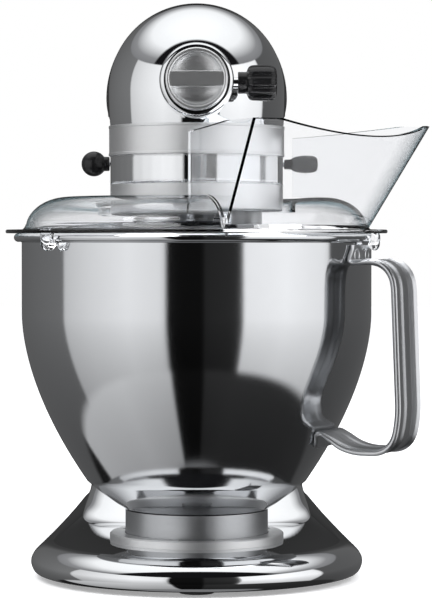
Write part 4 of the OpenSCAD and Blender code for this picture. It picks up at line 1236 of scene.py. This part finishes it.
@dataclass
class Head(Assembly):
    """Chromed head: upper housing, rear cover and trim band.

    Attributes:
        axis_z: Height of the head's long axis.
        nose_r: Radius of the spherical nose.
        motor_r: Greatest radius, over the motor.
        motor_y: Where that radius is reached.
        tail_y: Rear end.
        case_r: Half the width of the gear case.
        case_z: Underside of the gear case.
        band_z: Lower and upper edge of the trim band.
        split_z: Where the upper and the lower housing meet, behind the band.
        seat: How far the walls are set in behind the band.
        cover_y: Front of the rear cover.
        hub_z: Height of the attachment hub's axis.
    """

    axis_z: float = 295.0
    nose_r: float = 53.5
    motor_r: float = 58.26
    motor_y: float = 110.0
    tail_y: float = 265.0
    case_r: float = 52.5
    case_z: float = 238.5
    band_z: Flat = (256.0, 274.0)
    split_z: float = 265.0
    seat: float = 0.7
    cover_y: float = 205.0
    hub_z: float = 297.0

    def radius(self, y: float) -> float:
        """Work out the dome's radius.

        Args:
            y: Distance along the head.

        Returns:
            The radius.
        """
        if y <= 0:
            return self.nose_r
        if y < self.motor_y:
            return self.nose_r + (self.motor_r - self.nose_r) * math.sin(math.pi / 2 * y / self.motor_y)
        s = ((y - self.motor_y) / (self.tail_y - self.motor_y)) ** (TAIL_POWER / 2)
        return self.motor_r * math.cos(math.asin(min(1.0, s))) ** (2 / TAIL_POWER)

    def half_width(self, y: float) -> float:
        """Work out half the width below the dome.

        Args:
            y: Distance along the head.

        Returns:
            Half the width.
        """
        if y <= 175:
            return self.case_r - 0.4 * max(0.0, y) / 175
        return min(self.case_r, math.sqrt(self.radius(y) ** 2 - 21 ** 2))

    def belly(self, y: float) -> float:
        """Work out the radius of the rounded underside.

        Args:
            y: Distance along the head.

        Returns:
            The radius.
        """
        flat_r, round_r, start, length = 84.0, 66, 36, 64
        if y <= start:
            return flat_r
        if y < start + length:
            return flat_r - (flat_r - round_r) * smooth_step((y - start) / length)
        return round_r * self.radius(y) / self.motor_r

    def section(self, y: float, low: float, seat: float) -> list[Flat]:
        """Lay out half a section, from the lowest level up to the top of the dome.

        Args:
            y: Distance along the head.
            low: Level where the section starts.
            seat: How far the walls are set in behind the band.

        Returns:
            Points (x, z).
        """
        r, w, rb = self.radius(y), self.half_width(y), self.belly(y)
        points: list[Flat] = []
        if low <= self.case_z:
            edge = min(w, math.sqrt(max(0.0, rb * rb - (self.axis_z - self.case_z) ** 2)))
            corner = max(self.case_z, self.axis_z - math.sqrt(max(0.0, rb * rb - w * w)))
            points += [(edge * t, self.case_z) for t in (0.0, 0.5, 1.0)]
            for i in range(1, 10):
                x, z = edge + (w - edge) * math.sin(math.pi / 2 * i / 9), self.case_z
                if corner > self.case_z:
                    z = max(z, self.axis_z - math.sqrt(max(0.0, rb * rb - x * x)))
                points.append((x, z))
            points += [(w, corner + (self.band_z[0] - corner) * i / 4) for i in range(1, 5)]
            return points + [(w - seat, self.band_z[0]), (w - seat, self.split_z)]
        points += [(w - seat, self.split_z), (w - seat, self.band_z[1])]
        drop = self.axis_z - self.band_z[1]
        for i in range(13):
            dz = drop * (1 - i / 12)
            points.append((r - (r - w) * (dz / drop) ** 2, self.axis_z - dz))
        points += [(r * math.cos(a), self.axis_z + r * math.sin(a))
                   for a in (math.pi / 2 * i / 26 for i in range(1, 27))]
        return points

    def casting(self, name: str, low: float) -> bpy.types.Object:
        """Skin one half of the head: a turned front, then sections to the rear cover.

        Args:
            name: Object name.
            low: Level where the half starts.

        Returns:
            The casting.
        """
        upper = low > self.case_z
        rear = [self.cover_y * i / 26 for i in range(26, -1, -1)]
        front = [math.pi + math.pi * i / 48 for i in range(49)]
        half = self.section(0.0, low, self.seat)
        rows = len(half)
        count, top = 2 * rows, rows - 1
        verts: list[Solid] = []
        for y in rear:
            side = self.section(y, low, self.seat)
            verts += [(-x, y, z) for x, z in side] + [(x, y, z) for x, z in reversed(side)]
        start = len(verts)
        verts += [(x * math.cos(a), x * math.sin(a), z) for a in front for x, z in half]
        # The lower half stays open between its two top edges, where one flat face closes it
        faces: list[tuple[int, ...]] = [
            (k * count + i, k * count + i + 1, (k + 1) * count + i + 1, (k + 1) * count + i)
            for k in range(len(rear) - 1) for i in range(count - 1) if upper or i != top]
        faces += [(k + i, k + i + 1, k + rows + i + 1, k + rows + i)
                  for k in range(start, start + rows * (len(front) - 1), rows) for i in range(rows - 1)]
        faces.append(tuple(range(count)))
        left, right, nose = (0, count - 1, 0) if upper else (top, top + 1, top)
        rim = [k * count + left for k in range(len(rear))]
        rim += [start + k * rows + nose for k in range(1, len(front) - 1)]
        rim += [k * count + right for k in range(len(rear) - 1, -1, -1)]
        faces.append(tuple(rim))
        return self.kit.make(name, verts, faces, sharp=40)

    def housings(self) -> None:
        """Make the upper housing with its hub boss and bores."""
        upper = self.casting("upper_casting", self.split_z)
        foot_r, boss_r, length = 25.5, 21.5, 56
        outline = rounded([(foot_r, 0, 0), (boss_r, 12, 5), (boss_r, length, 3.4), (0, length, 0)], 6)
        boss = self.kit.lathe("boss_tool", [(0, 0), *outline], 96, about((0, -30, self.hub_z), "-y"))
        self.cut(upper, "UNION", boss)
        hub_bore = self.kit.drum("bore_tool", 14, 0, 80, 64, about((0, -20, self.hub_z), "-y"))
        knob_bore = self.kit.drum("knob_tool", 3.2, 0, 60, 32, about((5, -70, self.hub_z - 1), "x"))
        brush_bore = self.kit.drum("brush_tool", 8.2, -80, 80, 48, about((0, 144, self.axis_z), "x"))
        self.cut(upper, "DIFFERENCE", hub_bore, knob_bore, brush_bore)
        bevel(upper, 0.5, 45)
        self.dress(upper, CHROME, "head", "chrome", "upper_housing")

    def rear_cover(self) -> None:
        """Make the rounded rear cover."""
        below = self.section(self.cover_y, self.case_z, 0.0)[:-2]
        half = below + self.section(self.cover_y, self.split_z, 0.0)
        loop = [(-x, z) for x, z in half] + [(x, z) for x, z in reversed(half)]
        seam_y, end_y, steps = self.cover_y + 0.1, self.tail_y - 0.55, 30
        first = self.radius(seam_y)
        start = math.asin(((seam_y - self.motor_y) / (self.tail_y - self.motor_y)) ** (TAIL_POWER / 2))
        rings = []
        for i in range(steps + 1):
            a = start + (math.radians(89.4) - start) * i / steps
            y = self.motor_y + (end_y - self.motor_y) * math.sin(a) ** (2 / TAIL_POWER)
            scale = self.motor_r * math.cos(a) ** (2 / TAIL_POWER) / first
            rings.append([(x * scale, y, self.axis_z + (z - self.axis_z) * scale) for x, z in loop])
        piece = self.kit.loft("rear_cover_casting", rings, sharp=50)
        screw = self.kit.drum("screw_tool", 5.3, 0, 20, 48, about((0, 258, self.axis_z), "y"))
        gland = self.kit.drum("gland_tool", 6.6, 0, 50, 48, about((-20, 220, 272), "y"))
        self.cut(piece, "DIFFERENCE", screw, gland)
        bevel(piece, 0.6, 45)
        self.dress(piece, CHROME, "head", "chrome", "rear_cover")

    def plan(self) -> list[tuple[float, float, float, float]]:
        """Lay out the band's plan from the left rear round the front to the right rear.

        Returns:
            Points with their outward direction: x, y, nx, ny.
        """
        left = [(-self.half_width(y), y, -1.0, 0.0) for y in (self.cover_y - 0.2 - 10 * i for i in range(21))]
        nose = [(self.case_r * math.cos(a), self.case_r * math.sin(a), math.cos(a), math.sin(a))
                for a in (math.pi + math.pi * i / 90 for i in range(91))]
        return left + nose + [(-x, y, 1.0, 0.0) for x, y, _, _ in reversed(left)]

    def trim_band(self) -> None:
        """Make the satin band with its raised bright edges."""
        low, high = self.band_z
        # How far the band stands out, and how far from its edge
        edge = [(-0.6, 0.02), (0.85, 0.02), (1.0, 0.25), (1.0, 1.3), (0.72, 1.6)]
        profile = [(d, low + z) for d, z in edge] + [(d, high - z) for d, z in reversed(edge)]
        rings = [[(x + nx * d, y + ny * d, z) for d, z in profile] for x, y, nx, ny in self.plan()]
        self.dress(self.kit.loft("satin_band", rings, sharp=24), SATIN, "head", "satin_steel", "trim_band")

    def build(self) -> None:
        """Make every piece of the head."""
        self.housings()
        self.rear_cover()
        self.trim_band()


@dataclass
class Controls(Assembly):
    """Hub cap, attachment knob and the two lever knobs.

    Attributes:
        hub_z: Height of the hub's axis.
        cap_y: Where the hub cap meets the boss.
        cap_r: Radius of the hub cap.
        cap_depth: How far the cap's rolled edge stands out.
        roll_r: Radius of that edge's own section.
        bar: Half the height of the cap's bar, and how far it stands out.
        knob_at: Where the attachment knob starts.
        knob_length: Length of the attachment knob.
        lobes: Number of its lobes.
        lever_at: Distance along the head and height of the two levers.
    """

    hub_z: float = 297.0
    cap_y: float = -86.4
    cap_r: float = 18.0
    cap_depth: float = 7.5
    roll_r: float = 1.4
    bar: Flat = (4.8, 7.2)
    knob_at: Solid = (24.0, -70.0, 296.0)
    knob_length: float = 22.6
    lobes: int = 8
    lever_at: Flat = (84.0, 253.8)

    def hub_cap(self) -> None:
        """Make the dished hub cap."""
        front, roll_at = self.cap_depth, self.cap_r - self.roll_r
        bezel = [(roll_at + self.roll_r * math.cos(a), front - self.roll_r + self.roll_r * math.sin(a))
                 for a in degrees(0, 12, 14)]
        dish = [(15.1, 1.9), (13.2, 3.6), (9, 5.0), (4, 5.6), (0, 5.7)]
        dish = catmull([(r, front - depth) for r, depth in dish], 4)
        profile = [(0, 0), (self.cap_r, 0), *bezel, *dish]
        cap = self.kit.lathe("hub_cap_dish", profile, 128, about((0, self.cap_y, self.hub_z), "-y"))
        spigot = self.kit.drum("spigot_tool", 13.7, 0, 7, 64, about((0, self.cap_y - 0.2, self.hub_z), "y"))
        self.cut(cap, "UNION", spigot)
        self.dress(cap, CAP_STEEL, "hub_cover", "chrome", "hub_cap")

    def cap_bar(self) -> None:
        """Make the raised bar across the hub cap, a little fuller in the middle."""
        rings = []
        half = ((0, 1.03), (7, 1.02), (14, 1.0), (15.6, 0.97), (16.3, 0.86))
        for x, full in [(-x, full) for x, full in half[:0:-1]] + list(half):
            high, out = self.bar[0] * full, self.bar[1] * (0.985 + 0.015 * full)
            outline = rounded([(-high, 1.5, 0), (-high, out, 1.5), (high, out, 1.5), (high, 1.5, 0)], 5)
            rings.append([(x, self.cap_y - d, self.hub_z + u) for u, d in outline])
        bar = self.kit.loft("hub_cap_bar", rings, sharp=40)
        bevel(bar, 0.35, 40)
        self.dress(bar, CAP_STEEL, "hub_cover", "chrome")

    def knob(self) -> None:
        """Make the lobed attachment knob."""
        end = self.knob_length
        # Distance from the boss and radius: a plain collar, then the lobed grip
        length = [(0.0, 6.2), (0.4, 6.4), (4.6, 6.4), (5.2, 7.2), (6.0, 8.9), (7.2, 9.9), (9, 10.3),
                  (14, 10.5), (18, 10.4), (20, 9.9), (21.4, 8.9), (22.2, 7.4), (end, 5.4), (end, 0.01)]
        collar, depth = 4.6, 0.13
        place = about(self.knob_at, "x")
        rings = []
        for z, r in catmull(length, 3):
            r = max(0.01, r)
            lobe = smooth_step((z - collar) / 2.4) * depth * min(1.0, r / 6)
            ring = []
            for a in full_turn(128):
                valley = max(0.0, -math.cos(self.lobes * a)) ** 1.6
                out = r * (1 - lobe * valley)
                ring.append(place @ Vector((out * math.cos(a), out * math.sin(a), min(end, z))))
            rings.append(ring)
        grip = self.kit.loft("attachment_knob_grip", rings, sharp=50)
        self.dress(grip, BLACK, "attachment_knob", "black_plastic", "knob_grip")

    def lever_knobs(self) -> None:
        """Make the ball on the speed lever and the longer knob on the lock lever."""
        radius, middle = 8.0, 10
        ball = [(radius * math.cos(a), middle + radius * math.sin(a)) for a in degrees(-54, 11, 14)]
        speed = [(4.2, 0.0), (4.5, 0.5), (4.6, 3.0), *ball]
        lock = [(2.6, 0.0), (3.1, 0.6), (3.2, 4.2), (3.9, 5.4), (4.8, 7.6), (5.4, 11), (5.6, 15), (5.3, 18.6),
                (4.5, 20.8), (3.0, 21.8)]
        for lever, side, start, rows, end in (("speed", "-x", -56.0, speed, middle + radius),
                                              ("lock", "x", 56.5, lock, 22.0)):
            profile = [(0.0, 0.0), *catmull(rows, 4), (0.0, end)]
            place = about((start, *self.lever_at), side)
            knob = self.kit.lathe(f"{lever}_knob", profile, 64, place, sharp=50)
            self.dress(knob, BLACK, f"{lever}_lever", "black_plastic", f"{lever}_lever_knob")

    def build(self) -> None:
        """Make every control."""
        self.hub_cap()
        self.cap_bar()
        self.knob()
        self.lever_knobs()


# ---------- Studio ----------

# Brightness all round the object, by degrees to the right of the camera: low down, and level with it
PANELS_LOW = [(-180, 0.03), (-123, 0.02), (-121, 0.9), (-60, 1.15), (-20, 1.0), (-18, 0.01), (5, 0.01),
              (6, 0.05), (30, 0.06), (95, 0.05), (180, 0.05)]
PANELS_LEVEL = [(-180, 0.02), (-171, 0.05), (-165, 0.12), (-97, 0.2), (-95, 0.7), (-75, 0.86),
                (-45, 1.05), (-24, 0.95), (-20.5, 0.8), (-19, 0.006), (4, 0.006), (5, 0.022), (25, 0.03),
                (28, 0.06), (29, 0.4), (30, 0.25), (31, 1.1), (60, 1.2), (90, 1.05), (95, 0.9),
                (96.5, 0.1), (165, 0.12), (171, 0.05), (180, 0.02)]
# Colours that the surroundings have overhead, straight below, and for light that falls on the object
CEILING = [(0.0, (0.17, 0.172, 0.18)), (0.3, (0.3, 0.302, 0.31)), (0.62, (1.05, 1.06, 1.07)),
           (1.0, (1.2, 1.21, 1.22))]
DARK_FRONT = (0.008, 0.008, 0.009)
GROUND = (0.2, 0.202, 0.207)
SOFT_LIGHT = (0.82, 0.83, 0.85)
WHITE = (1.0, 1.0, 1.0)


@dataclass
class Studio:
    """Camera, lights, surroundings and floor, in metres from where the bowl's axis meets the ground.

    Attributes:
        origin: That point in the frame.
        distance: How far the camera stands in front.
        eye: Height of the camera.
        focal: Its focal length in millimetres.
        dip: How far it looks down, in degrees.
        veer: How far it looks to the right, in degrees.
        reach: Half the floor's side.
    """

    origin: Vector
    distance: float = 1.5
    eye: float = 0.205
    focal: float = 147.66
    dip: float = 1.4
    veer: float = 0.45
    reach: float = 6.0

    def camera(self) -> None:
        """Place the camera in front of the bowl, at about the height of its rim."""
        data = bpy.data.cameras.new("view")
        data.lens, data.sensor_width, data.sensor_fit = self.focal, 36.0, "AUTO"
        data.clip_start, data.clip_end = 0.05, 60.0
        thing = bpy.data.objects.new("view", data)
        thing.location = self.origin + Vector((0, -self.distance, self.eye))
        thing.rotation_euler = (math.radians(90 - self.dip), 0.0, math.radians(-self.veer))
        bpy.context.scene.collection.objects.link(thing)
        bpy.context.scene.camera = thing

    def surroundings(self) -> None:
        """Put light panels and dark cards all round, for reflections only, and white behind everything.

        Bands of height are given by the direction's Z, from -1 straight down to 1 straight up.
        """
        world = bpy.data.worlds.new("studio")
        bpy.context.scene.world = world
        world.use_nodes = True
        graph = Graph(world.node_tree)
        back = world.node_tree.nodes["Background"]
        split = graph.node("SeparateXYZ")
        graph.feed(split.inputs[0], graph.node("TexCoord").outputs["Generated"])
        x, y, z = split.outputs
        turn = graph.math("ARCTAN2", x, graph.math("MULTIPLY", y, -1.0))
        turn = graph.math("MULTIPLY_ADD", turn, 1 / math.tau, 0.5)
        low, level = graph.ramp(turn, self.stops(PANELS_LOW)), graph.ramp(turn, self.stops(PANELS_LEVEL))
        walls = graph.mix(graph.remap(z, -0.56, -0.52), low, level)
        # The panels darken downwards, and straight below lies a grey patch of ground
        shade = graph.node("VectorMath", operation="SCALE")
        graph.feed(shade.inputs[0], walls)
        graph.feed(shade.inputs["Scale"], graph.remap(z, -0.95, 0.05, 0.3, 1.0))
        ground = graph.mix(graph.remap(z, -0.93, -0.91), GROUND, shade.outputs[0])
        # Overhead a light ceiling begins behind a dark front
        sky = graph.ramp(graph.remap(z, 0.4, 1.0), CEILING)
        above = graph.mix(graph.remap(y, -0.4, -0.36), DARK_FRONT, sky)
        seen = graph.mix(graph.remap(z, 0.475, 0.495), ground, above)
        # White for the camera, and through the clear plastic in directions that lie behind the object
        path = graph.node("LightPath")
        through = graph.math("MULTIPLY", path.outputs["Is Transmission Ray"], graph.remap(y, 0.15, 0.25))
        plain = graph.math("MAXIMUM", path.outputs["Is Camera Ray"], through)
        lit = graph.mix(path.outputs["Is Diffuse Ray"], seen, SOFT_LIGHT)
        graph.feed(back.inputs["Color"], graph.mix(plain, lit, WHITE))
        back.inputs["Strength"].default_value = 1.0

    @staticmethod
    def stops(rows: Sequence[tuple[float, float]]) -> list[tuple[float, Colour]]:
        """Turn rows of (degrees to the right of the camera, brightness) into ramp stops."""
        return [(0.5 + angle / 360, (v, v * 1.005, v * 1.015)) for angle, v in rows]

    def lamp(self, name: str, place: Point, aim: Point, size: float, power: float) -> None:
        """Add a soft lamp that reflections don't show.

        Args:
            name: Its name.
            place: Where it hangs, in metres.
            aim: What it points at.
            size: Its diameter.
            power: Its power in watts.
        """
        data = bpy.data.lights.new(name, "AREA")
        data.shape, data.size, data.energy = "DISK", size, power
        thing = bpy.data.objects.new(name, data)
        thing.location = self.origin + Vector(place)
        thing.rotation_euler = (Vector(aim) - Vector(place)).to_track_quat("-Z", "Y").to_euler()
        thing.visible_glossy = False
        bpy.context.scene.collection.objects.link(thing)

    def floor(self) -> None:
        """Make the plain pale floor."""
        r = self.reach
        mesh = bpy.data.meshes.new("floor")
        mesh.from_pydata([(-r, -r, 0), (r, -r, 0), (r, r, 0), (-r, r, 0)], [], [(0, 1, 2, 3)])
        thing = bpy.data.objects.new("floor", mesh)
        bpy.context.scene.collection.objects.link(thing)
        material = bpy.data.materials.new("pale_floor")
        material.use_nodes = True
        shader = material.node_tree.nodes["Principled BSDF"]
        shader.inputs["Base Color"].default_value = (0.93, 0.93, 0.935, 1)
        shader.inputs["Roughness"].default_value = 0.6
        shader.inputs["Emission Color"].default_value = (1, 1, 1, 1)
        shader.inputs["Emission Strength"].default_value = 0.3
        mesh.materials.append(material)
        thing.visible_glossy = False

    def build(self) -> None:
        """Make the whole studio."""
        self.camera()
        self.surroundings()
        self.lamp("key", place=(-1.0, -1.3, 1.9), aim=(0, 0, 0.1), size=1.4, power=34)
        self.lamp("fill", place=(1.4, -0.9, 1.5), aim=(0, 0, 0.1), size=1.4, power=22)
        self.lamp("top", place=(0.1, 0.5, 2.2), aim=(0, 0, 0), size=1.6, power=20)
        self.floor()


def finish_nodes(shop: MaterialShop, nodes: dict[str, object], slots: dict[str, str]) -> None:
    """Give every node of the frame its detailed material.

    Args:
        shop: Makes materials.
        nodes: The frame's objects by node name.
        slots: Material slot of each node.
    """
    for name, thing in nodes.items():
        finish = NODE_FINISH.get(name) or SLOT_FINISH[slots[name]]
        for slot in thing.material_slots:
            slot.material = shop.get(finish)


def main() -> None:
    """Dress the frame, light it and place the camera."""
    logging.basicConfig(level=logging.INFO, format="%(name)s: %(message)s")
    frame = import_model()
    bpy.context.scene.view_settings.view_transform = "Standard"
    low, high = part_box("bowl_shell")
    origin = Vector(((low[0] + high[0]) / 2, (low[1] + high[1]) / 2, 0.0))
    LOG.info("bowl axis at %.4f, %.4f m", origin.x, origin.y)
    kit, shop = MeshKit(origin), MaterialShop(EffectLibrary())
    slots = {part["node"]: part["material_slot"] for part in frame["record"]["subparts"]}
    finish_nodes(shop, frame["nodes"], slots)
    for kind in (Bowl, Shield, Stand, Head, Controls):
        assembly = kind(kit, shop)
        assembly.build()
        LOG.info("%s: %s", kind.__name__, ", ".join(assembly.pieces))
    Studio(origin).build()


if __name__ == "__main__":
    main()
